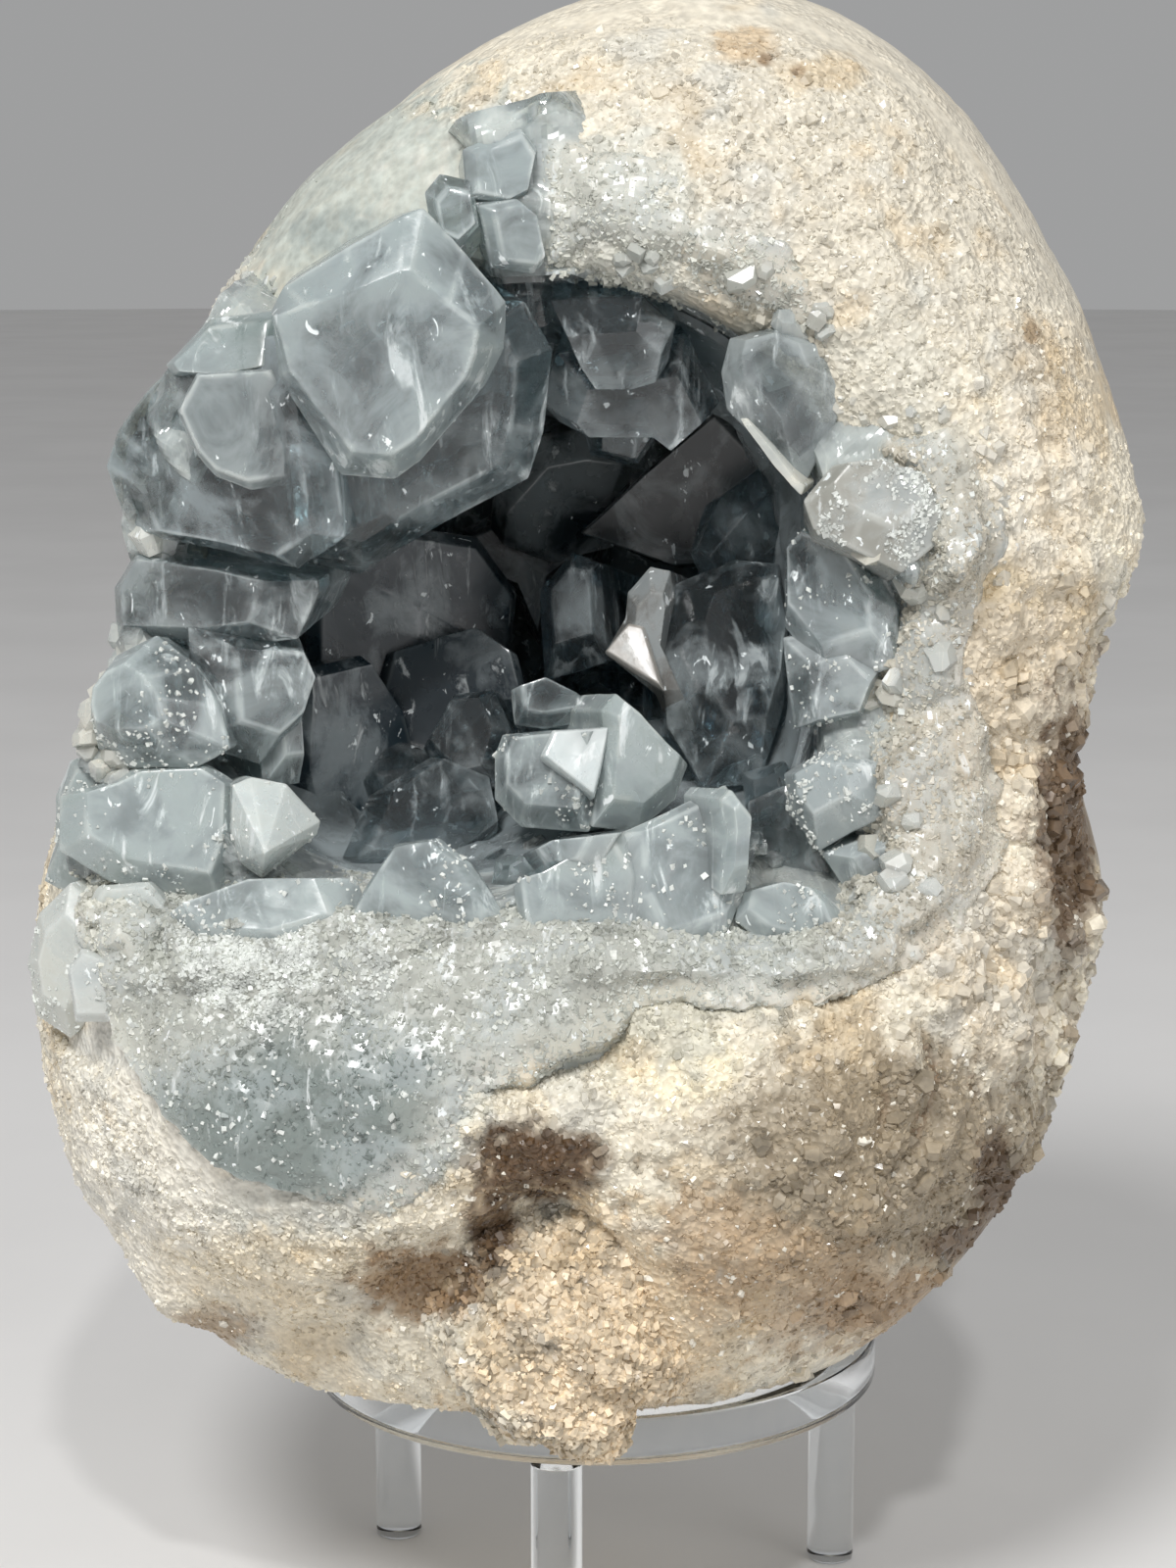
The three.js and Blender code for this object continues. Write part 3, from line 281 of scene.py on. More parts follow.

# The crystals inside the hollow. Their dark shades are painted shade of the hollow.
INNER = [
    # the hollow's back, nearly opaque and very dark as painted shade
    dict(depth=-6, turn=(-0.3, 0.15), rise=3, thick=22, haze=0.12, outline=[
        (-6.2, 15.6), (-6, 17.5), (-1.9, 22), (1.5, 20.6), (2.5, 8), (-5.5, 5.6),
    ], front=(0.6, 1, 1)),
    dict(depth=-13, turn=(-0.2, 0.1), rise=3, thick=20, haze=0.7, outline=[
        (2.1, 9.2), (4.7, 13.7), (5, 17), (7.9, 20.3), (10.5, 19.7), (11, 16.5), (10, 9),
        (14.3, -0.6), (10.5, -0.4), (8.5, 4),
    ], front=(0.6, 0.4, 0.6), shade=(104, 102, 98)),
    # a pale triangle in front of the block above: a painted highlight, its bright reflection
    dict(depth=-16.5, turn=(-0.25, 0.5), rise=0.8, thick=5, haze=0.92, outline=[
        (2, 9.2), (5.2, 13), (7.2, 12.6), (9.8, 4.2),
    ], front=(0.86, 0, 0), shade=(158, 153, 146)),
    dict(depth=-13, turn=(0.15, 0.3), rise=4, thick=26, haze=0.12, outline=[
        (11.2, 18), (18.7, 21.2), (24.4, 20.6), (26, 12.5), (25, 2.5), (22, -7.5),
        (15, -8.2), (10, 0), (9.4, 12.5),
    ], front=(0.62, 1.5, 2), shade=(82, 98, 99)),
    dict(depth=3, turn=(0.35, 0.1), rise=2, thick=26, haze=0.93, outline=[
        (-36, 22), (-27, 26), (-14, 24), (-9, 17), (-10, 9), (-22, 6), (-36, 4),
    ], front=(0.9, 0, -0.5), shade=(32, 46, 54)),
    dict(depth=-3, turn=(-0.1, 0.3), rise=2, thick=22, haze=0.9, outline=[
        (-26, 9), (-14, 12.5), (-9, 9), (-7.5, 3), (-14, -3), (-24, -6), (-29, -2),
    ], front=(0.86, 0.5, 1), shade=(38, 52, 60)),
    dict(depth=-9, turn=(0.45, 0.05), rise=2, thick=24, haze=0.93, outline=[
        (-37.5, 7), (-29, 9), (-24.5, 2), (-22, -8), (-29, -15.5), (-36, -14.5), (-38, -6.2),
    ], front=(0.88, 1, 0.5), shade=(36, 50, 58)),
    dict(depth=-19, turn=(0.2, 0.4), rise=2.2, thick=20, haze=0.06, outline=[
        (-32, -18.7), (-28, -9), (-20, -4), (-13, -7), (-11.5, -14), (-18, -19),
    ], front=(0.8, 1.5, 1), shade=(66, 84, 90)),
    dict(depth=-15, turn=(-0.25, 0.2), rise=2.4, thick=20, haze=0.05, outline=[
        (-21, -3), (-17, 4), (-12, 4.5), (-9.5, -1), (-11.5, -8), (-16, -9),
    ], front=(0.7, -0.5, 1), shade=(66, 84, 90)),
    dict(depth=18, turn=(0.1, -0.35), rise=3, thick=20, haze=0.93, outline=[
        (-5.9, 36.9), (0, 38), (12.5, 36.2), (5, 25), (-5, 22.5), (-12.5, 25), (-12, 30),
    ], front=(0.85, 0, -2), shade=(22, 31, 36)),
    dict(depth=7, turn=(-0.15, -0.1), rise=2, thick=24, haze=0.93, outline=[
        (-1, 24.5), (8, 33), (17.5, 41), (27.5, 31), (26.5, 20.5), (11.5, 20),
    ], front=(0.9, -1, 0), shade=(26, 35, 39)),
    dict(depth=22, turn=(0.1, 0.1), rise=3, thick=14, haze=0.93, outline=[
        (-16.2, 25), (-6.2, 30), (0, 22.5), (-5, 18.7), (-6.2, 10), (-9.4, 17.5),
        (-15.2, 19.7),
    ], front=(0.8, 0, 0), shade=(18, 26, 31)),
    # the crystals that hang from the hollow's roof, darkened as painted shade
    dict(depth=-27, turn=(0, -0.4), rise=3, thick=20, haze=0.06, outline=[
        (-5, 54.4), (6.9, 55), (11.2, 51.2), (10.2, 46.2), (6.2, 45), (0, 45),
        (-2.5, 48.7),
    ], front=(0.75, 0, -2), shade=(48, 62, 64)),
    dict(depth=-21, turn=(0.05, -0.25), rise=3, thick=20, haze=0.04, outline=[
        (-4, 47.5), (12.5, 50), (16.9, 41.2), (11.2, 36.2), (8, 38.7), (-3.7, 38.7),
        (-6, 41.2),
    ], front=(0.7, 1, -2), shade=(52, 66, 70)),
    dict(depth=-33, turn=(-0.1, 0.05), rise=3, thick=20, haze=0.35, outline=[
        (18, 49.4), (25, 51.2), (31.2, 48.7), (33.5, 43), (31, 37), (27, 29.5),
        (22.8, 35), (17.6, 40.2), (16.9, 45),
    ], front=(0.5, -1, 3), shade=(128, 132, 128)),
    # a thin pale sliver: a painted highlight along the lit lower edge of the crystal above
    dict(depth=-35, turn=(-0.5, 0.1), rise=0.7, thick=5, haze=0.75, outline=[
        (19.2, 39.4), (20.1, 39.7), (23.4, 35.8), (27.6, 30.4), (27.2, 29.3), (24.2, 32.6),
    ], front=(0.8, 0, 0), shade=(206, 203, 190)),
    dict(depth=-24, turn=(-0.2, 0.2), rise=2.5, thick=16, haze=0.1, outline=[
        (19.5, -6), (25, -4.5), (29, -10), (27.5, -17), (20.5, -18),
    ], front=(0.6, 0, 1), shade=(64, 78, 80)),
    dict(depth=-22, turn=(0.1, -0.3), rise=2, thick=16, haze=0.15, outline=[
        (-12, 58), (-5, 58), (-4, 52), (-9.5, 50), (-12, 53),
    ], front=(0.7, 0, -1)),
]

RIM_CRYSTALS = GREAT + SIDE + FLOOR_EDGE + RIGHT

# ---- numbers that repeat -----------------------------------------------------------------------

def cell_key(cell, seed):
    """One whole number for each cell of a cubic grid: its three indices times three primes."""
    c = np.asarray(cell).astype(np.int64)
    mixed = c[..., 0] * 73856093 + c[..., 1] * 19349663 + c[..., 2] * 83492791 + seed * 2654435761
    return mixed.astype(np.uint64)


def chance(key, channel=0):
    """A number from 0 to 1 for each key: the bits of a whole number mixed twice."""
    n = np.asarray(key).astype(np.uint64) + np.uint64(0x9E3779B97F4A7C15 * (channel + 1) % 2 ** 64)
    n = (n ^ (n >> np.uint64(30))) * np.uint64(0xBF58476D1CE4E5B9)
    n = (n ^ (n >> np.uint64(27))) * np.uint64(0x94D049BB133111EB)
    n = n ^ (n >> np.uint64(31))
    return (n >> np.uint64(11)).astype(float) / 2.0 ** 53


def smooth(low, high, value):
    """0 below low, 1 above high, and the cubic 3t^2 - 2t^3 between them."""
    t = np.clip((value - low) / (high - low), 0, 1)
    return t * t * (3 - 2 * t)


def unit(v):
    """Directions of length 1."""
    return v / np.linalg.norm(v, axis=-1, keepdims=True)


def blend(first, second, weight):
    """Colours that go from the first (0) to the second (1) by a weight for each place."""
    weight = weight[..., None]
    return first * (1 - weight) + second * weight


def there_and_back(values, step):
    """Rows of a skin's top, then of its underside: every so many of the same rows, backwards."""
    return np.concatenate([values, values[::-step]])


def swell(p, size, seed):
    """Soft noise from -1 to 1: chance values at a cubic grid's corners, blended by cubic steps."""
    q = p / size
    cell = np.floor(q).astype(np.int64)
    t = q - cell
    t = t * t * (3 - 2 * t)
    total = 0
    for corner in np.ndindex(2, 2, 2):
        weight = np.prod(np.where(np.array(corner) == 1, t, 1 - t), axis=-1)
        total = total + weight * chance(cell_key(cell + np.array(corner), seed))
    return 2 * total - 1


def turns(key):
    """A random turn for each key, as the matrix of a quaternion with four chance parts."""
    w, x, y, z = (chance(key, 11 + k) - 0.5 for k in range(4))
    size = np.sqrt(w * w + x * x + y * y + z * z) + 1e-9
    w, x, y, z = w / size, x / size, y / size, z / size
    return np.stack([
        np.stack([1 - 2 * (y * y + z * z), 2 * (x * y - w * z), 2 * (x * z + w * y)], -1),
        np.stack([2 * (x * y + w * z), 1 - 2 * (x * x + z * z), 2 * (y * z - w * x)], -1),
        np.stack([2 * (x * z - w * y), 2 * (y * z + w * x), 1 - 2 * (x * x + y * y)], -1),
    ], -2)


def grains(p, size, seed):
    """Height of a heap of randomly turned cubes, and the chance value of the cube on top.

    One cube stands in each cell of a cubic grid, off its middle. Its height at a place is its half
    width less the greatest of the place's three distances along its edges. The highest one of the
    27 cells around the place is taken.
    """
    q = p / size
    cell = np.floor(q).astype(np.int64)
    best = np.full(q.shape[:-1], -9.0)
    owner = np.zeros(q.shape[:-1])
    for step in np.ndindex(3, 3, 3):
        here = cell + np.array(step) - 1
        key = cell_key(here, seed)
        middle = here + 0.15 + 0.7 * np.stack([chance(key, k) for k in range(3)], -1)
        local = np.einsum("...ij,...j->...i", turns(key), q - middle)
        height = 0.5 + 0.4 * chance(key, 7) - np.abs(local).max(-1)
        higher = height > best
        best = np.where(higher, height, best)
        owner = np.where(higher, chance(key, 8), owner)
    return best * size, owner


# ---- the stone's surface -----------------------------------------------------------------------

def marks(values, turn):
    """Smooth value between values that stand evenly around a clock, by Catmull and Rom's cubic."""
    values = np.asarray(values, float)
    place = (turn % 1) * len(values)
    i = np.floor(place).astype(int)
    t = place - i
    a, b, c, d = (values[(i + k) % len(values)] for k in (-1, 0, 1, 2))
    return b + 0.5 * t * (c - a + t * (2 * a - 5 * b + 4 * c - d + t * (3 * (b - c) + d - a)))


def on_clock(turn, radius, y):
    """Point at a radius from the opening's axis, at a clock turn and a depth."""
    angle = 2 * np.pi * turn
    x = AXIS[0] + radius * np.sin(angle)
    z = AXIS[2] + radius * np.cos(angle)
    return np.stack(np.broadcast_arrays(x, y, z), -1)


def egg_level(p):
    """Under 1 inside the leaning, tapered ellipsoid and 1 on it."""
    across = (p[..., 0] - EGG_X) * math.cos(LEAN) - p[..., 2] * math.sin(LEAN)
    up = (p[..., 0] - EGG_X) * math.sin(LEAN) + p[..., 2] * math.cos(LEAN)
    girth = 1 - TAPER * up / HALF_HEIGHT
    return ((across / (HALF_WIDTH * girth)) ** 2 + (p[..., 1] / (HALF_DEPTH * girth)) ** 2
            + (up / HALF_HEIGHT) ** 2)


def on_egg(turn, degrees):
    """Where a ray from the axis meets the broken egg: halved 30 times, then cut by its side."""
    turn, degrees = np.broadcast_arrays(turn, degrees)
    tilt = np.radians(degrees)
    near, far = np.zeros(tilt.shape), np.full(tilt.shape, 2 * HALF_HEIGHT)
    for _ in range(30):
        middle = (near + far) / 2
        inside = egg_level(on_clock(turn, middle * np.sin(tilt), middle * np.cos(tilt))) < 1
        near, far = np.where(inside, middle, near), np.where(inside, far, middle)
    reach = near * (1 + smooth(*BROKEN_BACK, degrees) * (marks(BROKEN_SIDE, turn) - 1))
    return on_clock(turn, reach * np.sin(tilt), reach * np.cos(tilt))


def relief(p, rough):
    """The named lumps as bells, and the swell, a sum of products of two sine waves, over rough."""
    lift = 0
    for height, first, second in SWELLS:
        pair = [np.sin(p[..., 0] * w[0] + p[..., 1] * w[1] + p[..., 2] * w[2] + w[3])
                for w in (first, second)]
        lift = lift + rough * height * pair[0] * pair[1]
    for at, radius, height in LUMPS:
        far = np.linalg.norm(p - np.array(at, float), axis=-1) / radius
        lift = lift + height * np.exp(-far * far)
    return lift


def outward_ray(p):
    """Unit direction from the opening's axis point, at y 0, to each place."""
    return unit(p - AXIS)


def weathered(p, rough):
    """Moves a place along its ray from the axis by the relief, and breaks the bottom off flat."""
    moved = p + outward_ray(p) * relief(p, rough)[..., None]
    moved[..., 2] = np.maximum(moved[..., 2], FLAT_BOTTOM)
    return moved


def lip_point(turn):
    """The hollow's lip: its radius and depth at a clock turn."""
    return on_clock(turn, marks(LIP_RADIUS, turn), marks(LIP_DEPTH, turn))


def front_point(turn, part, crest):
    """The broken face from the crest (0) in to the lip (1), bulging forward by half a sine."""
    p = crest + (lip_point(turn) - crest) * part[..., None]
    p[..., 1] -= marks(FACE_BULGE, turn) * np.sin(np.pi * part)
    return p


def wall_point(turn, part, inset=0.0):
    """The hollow's wall from the lip (0) to its back (1): a quarter of a full ellipse."""
    angle = part * np.pi / 2
    depth = marks(LIP_DEPTH, turn)
    radius = (marks(LIP_RADIUS, turn) - inset) * np.cos(angle) ** WALL_FULLNESS
    return on_clock(turn, radius, depth + (HOLLOW_BACK - inset - depth) * np.sin(angle))


def normals(grid):
    """Unit normals of a grid of places: the cross product of its two steps, turned outward."""
    along = np.gradient(grid, axis=0)
    across = np.roll(grid, -1, axis=1) - np.roll(grid, 1, axis=1)
    n = np.cross(along, across)
    n /= np.linalg.norm(n, axis=-1, keepdims=True) + 1e-12
    return n


# ---- the view from the front -------------------------------------------------------------------

SIGHT = np.array([0.0, math.cos(VIEW_TURN), -math.sin(VIEW_TURN)])


def seen_at(p):
    """[right, up] on the egg's middle plane where the line from the eye to a place meets it."""
    ray = p - EYE
    hit = EYE + ray * (-(EYE @ SIGHT) / (ray @ SIGHT))[..., None]
    return np.stack([hit[..., 0], hit @ VIEW_UP], -1)


def on_sight(uv, at, normal):
    """Where the lines from the eye through [right, up] places meet a plane."""
    uv = np.asarray(uv, float)
    ray = uv[..., :1] * np.array([1.0, 0, 0]) + uv[..., 1:] * VIEW_UP - EYE
    return EYE + ray * (((at - EYE) @ normal) / (ray @ normal))[..., None]


def ellipse(uv, middle, reach):
    """How far out a place lies in an ellipse: 0 in the middle and 1 on its line."""
    return np.hypot(*np.moveaxis((uv - np.array(middle)) / np.array(reach), -1, 0))


def face_plane(row):
    """The middle of a crystal's face and the way that it looks, with 1 along -Y."""
    at = on_sight(np.mean(row["outline"], axis=0), np.array([0, row["depth"], 0.0]),
                  np.array([0, 1.0, 0]))
    return at, np.array([row["turn"][0], -1.0, row["turn"][1]])


def inside_by(uv, outline):
    """Distance to an outline of [right, up] places, over 0 inside it and under 0 outside."""
    outline = np.asarray(outline, float)
    following = np.roll(outline, -1, axis=0)
    nearest = np.full(uv.shape[:-1], 1e9)
    crossings = np.zeros(uv.shape[:-1], bool)
    for a, b in zip(outline, following):
        edge = b - a
        part = np.clip(((uv - a) @ edge) / (edge @ edge), 0, 1)
        nearest = np.minimum(nearest, np.linalg.norm(uv - a - part[..., None] * edge, axis=-1))
        spans = (a[1] > uv[..., 1]) != (b[1] > uv[..., 1])
        slope = edge[0] / edge[1] if edge[1] else 0.0
        crossings ^= spans & (uv[..., 0] < a[0] + (uv[..., 1] - a[1]) * slope)
    return np.where(crossings, nearest, -nearest)


# ---- meshes ------------------------------------------------------------------------------------

class Heap:
    """Skins that are joined into one mesh, with a colour and a fourth value at every point."""

    def __init__(self):
        self.points, self.tints, self.faces, self.count = [], [], {}, 0

    def add(self, points, tints, faces):
        """Adds places (n, 3), colours (n, 4) and faces by their number of corners."""
        for corners, index in faces:
            self.faces.setdefault(corners, []).append(index + self.count)
        self.points.append(points)
        self.tints.append(np.broadcast_to(tints, (len(points), 4)))
        self.count += len(points)

    def skin(self, grid, tints, ring=False):
        """Adds a grid whose columns close, its first and last row each closed by a middle point.

        With ring, the last row joins the first one instead. The faces are turned outward by the
        sign of the volume that they hold.
        """
        rows, columns = grid.shape[:2]
        k = np.arange(rows * columns).reshape(rows, columns)
        upper = np.roll(k, -1, axis=0) if ring else k[1:]
        lower = k if ring else k[:-1]
        quads = np.stack([lower, np.roll(lower, -1, 1), np.roll(upper, -1, 1), upper], -1)
        quads = quads.reshape(-1, 4)
        points = grid.reshape(-1, 3)
        tints = np.broadcast_to(tints, (rows, columns, 4)).reshape(-1, 4)
        fans = np.empty((0, 3), int)
        if not ring:
            first, last = len(points), len(points) + 1
            points = np.concatenate([points, [grid[0].mean(0)], [grid[-1].mean(0)]])
            tints = np.concatenate([tints, tints[:1], tints[-1:]])
            fans = np.concatenate([
                np.stack([np.full(columns, first), np.roll(k[0], -1), k[0]], -1),
                np.stack([np.full(columns, last), k[-1], np.roll(k[-1], -1)], -1),
            ])
        middle = points.mean(0)
        corners = [(points - middle)[quads[:, j]] for j in range(4)]
        volume = np.sum(corners[0] * np.cross(corners[1], corners[2]))
        volume += np.sum(corners[0] * np.cross(corners[2], corners[3]))
        if volume < 0:
            quads, fans = quads[:, ::-1], fans[:, ::-1]
        self.add(points, tints, [(4, quads), (3, fans)])

    def piece(self, name, material, nodes=(), sharp=None):
        """Makes the mesh. With sharp, it's smooth but for the edges over that angle in degrees."""
        mesh = bpy.data.meshes.new(name)
        points = home(np.concatenate(self.points))
        mesh.vertices.add(len(points))
        mesh.vertices.foreach_set("co", points.astype(np.float32).ravel())
        loops, starts, at = [], [], 0
        for corners, index in self.faces.items():
            index = np.concatenate(index)
            loops.append(index.ravel())
            starts.append(at + corners * np.arange(len(index)))
            at += index.size
        mesh.loops.add(at)
        mesh.loops.foreach_set("vertex_index", np.concatenate(loops).astype(np.int32))
        starts = np.concatenate(starts).astype(np.int32)
        mesh.polygons.add(len(starts))
        mesh.polygons.foreach_set("loop_start", starts)
        mesh.polygons.foreach_set("use_smooth", np.full(len(starts), sharp is not None))
        mesh.update(calc_edges=True)
        layer = mesh.color_attributes.new("tint", "FLOAT_COLOR", "POINT")
        layer.data.foreach_set("color", np.concatenate(self.tints).astype(np.float32).ravel())
        if sharp is not None:
            mesh.set_sharp_from_angle(angle=math.radians(sharp))
        mesh.materials.append(material)
        shown = bpy.data.objects.new(name, mesh)
        bpy.context.scene.collection.objects.link(shown)
        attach(shown, "root")
        if nodes:
            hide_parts(*nodes)


def skin_piece(name, grid, tint, value, material, node, sharp, ring=False):
    """One skin as a piece of its own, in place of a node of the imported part."""
    heap = Heap()
    heap.skin(grid, with_value(tint, value), ring=ring)
    heap.piece(name, material, [node], sharp=sharp)


# ---- colours -----------------------------------------------------------------------------------

def colour(red, green, blue):
    """Linear colour of three screen values from 0 to 255."""
    s = np.array([red, green, blue]) / 255
    return np.where(s <= 0.04045, s / 12.92, ((s + 0.055) / 1.055) ** 2.4)


# The stone's three colours, and the two that mottle its broken face, each with size and seed.
CREAM, GREY, BEIGE = colour(236, 228, 208), colour(214, 206, 188), colour(208, 192, 164)
MOTTLES = [(7, 46, (182, 184, 180)), (6, 48, (208, 186, 150))]

# Where the broken stone has its own colour: [right, up], half its [width, height], colour, force.
ZONES = [
    # the top, ground flat at the left, with tan stains
    ((35, 70), (45, 30), (207, 200, 184), 0.85),
    ((-28, 66), (21, 17), (180, 186, 178), 0.95),
    ((-32, 63), (6, 3.5), (152, 160, 156), 0.8),
    ((22, 50), (12, 5), (170, 166, 152), 0.8),
    ((-2, 62), (20, 14), (204, 204, 194), 0.85),
    ((20, 86.5), (4, 2.5), (196, 172, 138), 0.75),
    ((22.5, 85), (1.2, 1), (132, 106, 76), 0.8),
    ((27, 83.5), (1.2, 1), (140, 114, 84), 0.8),
    ((31, 83), (4.5, 2.5), (202, 182, 148), 0.6),
    # the right side, down to the brown notch at its edge
    ((57, 48), (4, 5), (198, 178, 146), 0.6),
    ((56.5, 50), (1.3, 1.6), (140, 116, 86), 0.7),
    ((52, 18), (7, 6), (192, 172, 136), 0.75),
    ((57, 30), (8, 14), (222, 214, 198), 0.7),
    ((37, 40), (12, 12), (202, 198, 184), 0.75),
    ((54, 2), (12, 14), (206, 194, 174), 0.7),
    ((61, -15), (4.5, 19), (104, 82, 60), 0.95),
    # the lower right, brownish, and the cream stone above it
    ((52, -30), (8, 16), (214, 202, 182), 0.7),
    ((42, -22), (9, 10), (214, 212, 204), 0.7),
    ((38, -57), (28, 18), (142, 128, 106), 0.9),
    ((11, -42), (9, 7), (246, 234, 204), 0.9),
    ((3, -38), (18, 7), (192, 190, 176), 0.85),
    # the blue-grey patch and the pale rim round it
    ((-35, -46), (20, 13), (186, 192, 188), 0.9),
    ((-41, -49), (14, 8), (158, 168, 168), 0.85),
    ((-56, -42), (12, 14), (228, 227, 220), 0.75),
    ((-62, -55), (10, 12), (230, 222, 204), 0.8),
    ((-40, -62), (16, 6), (190, 190, 182), 0.8),
    ((-56, -60), (12, 16), (238, 233, 220), 0.9),
    ((-38, -70), (16, 6), (226, 214, 190), 0.75),
    ((-48, -77), (6, 3), (150, 124, 94), 0.7),
    # the brown band, the pit, the lump and the underside
    ((-20, -71), (11, 5), (140, 110, 76), 0.9),
    ((-6, -56), (8, 6), (80, 56, 30), 0.98),
    ((-12, -65), (4, 6.5), (84, 60, 34), 0.95),
    ((0, -78), (16, 16), (222, 202, 172), 0.85),
    ((16, -66), (8, 8), (176, 152, 122), 0.7),
    ((28, -72), (16, 8), (176, 152, 122), 0.7),
    ((52, -58), (3, 8), (96, 76, 56), 0.9),
    ((48, -66), (6, 2.5), (96, 76, 56), 0.85),
    ((40, -74), (14, 5), (160, 136, 108), 0.8),
]


def stone_colour(p):
    """Colour of the stone at each place: a mottle of three stones, then the named zones.

    The mottle blends cream, grey and beige by two soft noises. A zone is a flat-topped bell in the
    view from the front, its edge pushed in and out by noise, and fades towards the back. Last come
    the mottles, on what is pale and broken.
    """
    broad, fine, speck = swell(p, 21, 41), swell(p, 6, 42), swell(p, 1.4, 45)
    tint = blend(CREAM, GREY, np.clip(0.5 + 0.6 * broad + 0.3 * fine, 0, 1))
    tint = blend(tint, BEIGE, smooth(0.25, 0.8, swell(p, 15, 43) + 0.4 * swell(p, 4, 44)))
    uv = seen_at(p)
    front = smooth(14, -8, p[..., 1])
    for middle, reach, shade, force in ZONES:
        far = ellipse(uv, middle, reach) * (1 + 0.2 * fine + 0.15 * broad + 0.34 * speck)
        tint = blend(tint, colour(*shade), force * front * smooth(1.25, 0.65, far))
    for size, seed, shade in MOTTLES:
        patch = smooth(0.3, 0.85, swell(p, size, seed) + 0.5 * swell(p, 2.4, seed + 1))
        pale = tint.mean(-1) > 0.35
        weight = 0.4 * front * patch * pale * (1 - ground_flat(p))
        tint = blend(tint, colour(*shade), weight)
    return tint


def with_value(tint, value):
    """Colours with a fourth value, which the finishes read as milk or as broken grain."""
    value = np.broadcast_to(np.asarray(value, float), tint.shape[:-1])
    return np.concatenate([tint, value[..., None]], -1)


# ---- materials ---------------------------------------------------------------------------------

STONE_IOR, CRYSTAL_IOR, ACRYLIC_IOR = 1.55, 1.6, 1.49


class Finish:
    """A node material round one Principled shader, with short calls for its usual nodes."""

    def __init__(self, name):
        self.material = bpy.data.materials.new(name)
        self.material.use_nodes = True
        self.tree = self.material.node_tree
        self.shader = self.tree.nodes["Principled BSDF"]
        self.place = self.node("TexCoord", "Object")

    def feed(self, socket, value):
        """Links a socket to a source, or sets it to a number, a vector or a colour."""
        if isinstance(value, bpy.types.NodeSocket):
            self.tree.links.new(value, socket)
        else:
            socket.default_value = (*value, 1) if socket.type == "RGBA" else value

    def node(self, kind, output, inputs=(), **settings):
        """One output of a new node with these inputs and settings."""
        node = self.tree.nodes.new("ShaderNode" + kind)
        for name, value in settings.items():
            setattr(node, name, value)
        for name, value in dict(inputs).items():
            self.feed(node.inputs[name], value)
        return node.outputs[output]

    def plug(self, name, value):
        """Feeds one of the shader's sockets."""
        self.feed(self.shader.inputs[name], value)

    def noise(self, scale, detail=3.0, rough=0.55, warp=0.0, stretch=None):
        """Noise over the place, first turned and scaled by stretch where it is given."""
        place = self.place
        if stretch:
            place = self.node("Mapping", "Vector", {"Vector": place, "Rotation": stretch[0],
                                                    "Scale": stretch[1]})
        return self.node("TexNoise", "Fac", {"Vector": place, "Scale": scale, "Detail": detail,
                                             "Roughness": rough, "Distortion": warp})

    def cells(self, scale):
        """Distance to the nearest of scattered points."""
        return self.node("TexVoronoi", "Distance", {"Vector": self.place, "Scale": scale})

    def ramp(self, source, low, high, start=0.0, end=1.0):
        """A smooth step from start, where the source is low, to end, where it is high."""
        return self.node("MapRange", "Result", {"Value": source, "From Min": low, "From Max": high,
                                                "To Min": start, "To Max": end},
                         interpolation_type="SMOOTHSTEP")

    def maths(self, operation, first, second, clamp=False):
        """One sum or product of two sources."""
        return self.node("Math", 0, {0: first, 1: second}, operation=operation, use_clamp=clamp)

    def mix(self, factor, first, second, blend="MIX"):
        """Two colours blended by a factor."""
        return self.node("Mix", 2, {0: factor, 6: first, 7: second}, data_type="RGBA",
                         blend_type=blend)

    def tint(self):
        """The colour and the fourth value that the mesh carries."""
        return [self.node("Attribute", output, attribute_name="tint")
                for output in ("Color", "Alpha")]

    def bump(self, height, distance, strength, under=None):
        """Fine relief of a height over a distance in metres, on top of another bump."""
        inputs = {"Strength": strength, "Distance": distance, "Height": height}
        if under:
            inputs["Normal"] = under
        return self.node("Bump", "Normal", inputs)


def stone_finish():
    """Sugary stone: the fourth value goes from ground smooth (0) to broken and grainy (1)."""
    f = Finish("sugary_stone")
    tint, broken = f.tint()
    mottle = f.ramp(f.noise(420, 4, 0.65), 0.3, 0.7, 0.86, 1.1)
    speck = f.ramp(f.cells(900), 0.0, 0.8, 0.9, 1.06)
    shade = f.maths("MULTIPLY", mottle, speck)
    cloud = f.noise(95, 6, 0.6, 1.5)
    veins = f.maths("MULTIPLY", f.ramp(cloud, 0.44, 0.5, 0, 0.1), f.ramp(cloud, 0.56, 0.5, 0, 1))
    tinted = f.mix(veins, tint, (0.5, 0.4, 0.27))
    f.plug("Base Color", f.mix(1.0, tinted, shade, "MULTIPLY"))
    f.plug("Roughness", f.ramp(f.noise(700, 2), 0.3, 0.7, 0.32, 0.62))
    grain = f.maths("MULTIPLY", f.cells(1150), f.ramp(broken, 0, 1, 0.12, 1))
    low = f.bump(f.noise(330, 5, 0.65), 0.00007, 0.5)
    f.plug("Normal", f.bump(grain, 0.0005, 0.8, low))
    f.plug("IOR", STONE_IOR)
    return f.material


def grain_finish():
    """Loose grains of sugar-like crystal: pale, glossy and a little see-through."""
    f = Finish("sugar_grain")
    tint, _ = f.tint()
    mottle = f.ramp(f.noise(1500, 2), 0.3, 0.7, 0.9, 1.08)
    f.plug("Base Color", f.mix(1.0, tint, mottle, "MULTIPLY"))
    f.plug("Roughness", f.ramp(f.noise(500, 2), 0.35, 0.65, 0.16, 0.5))
    f.plug("Transmission Weight", f.ramp(f.noise(300, 2), 0.45, 0.65, 0.0, 0.35))
    f.plug("IOR", STONE_IOR)
    return f.material


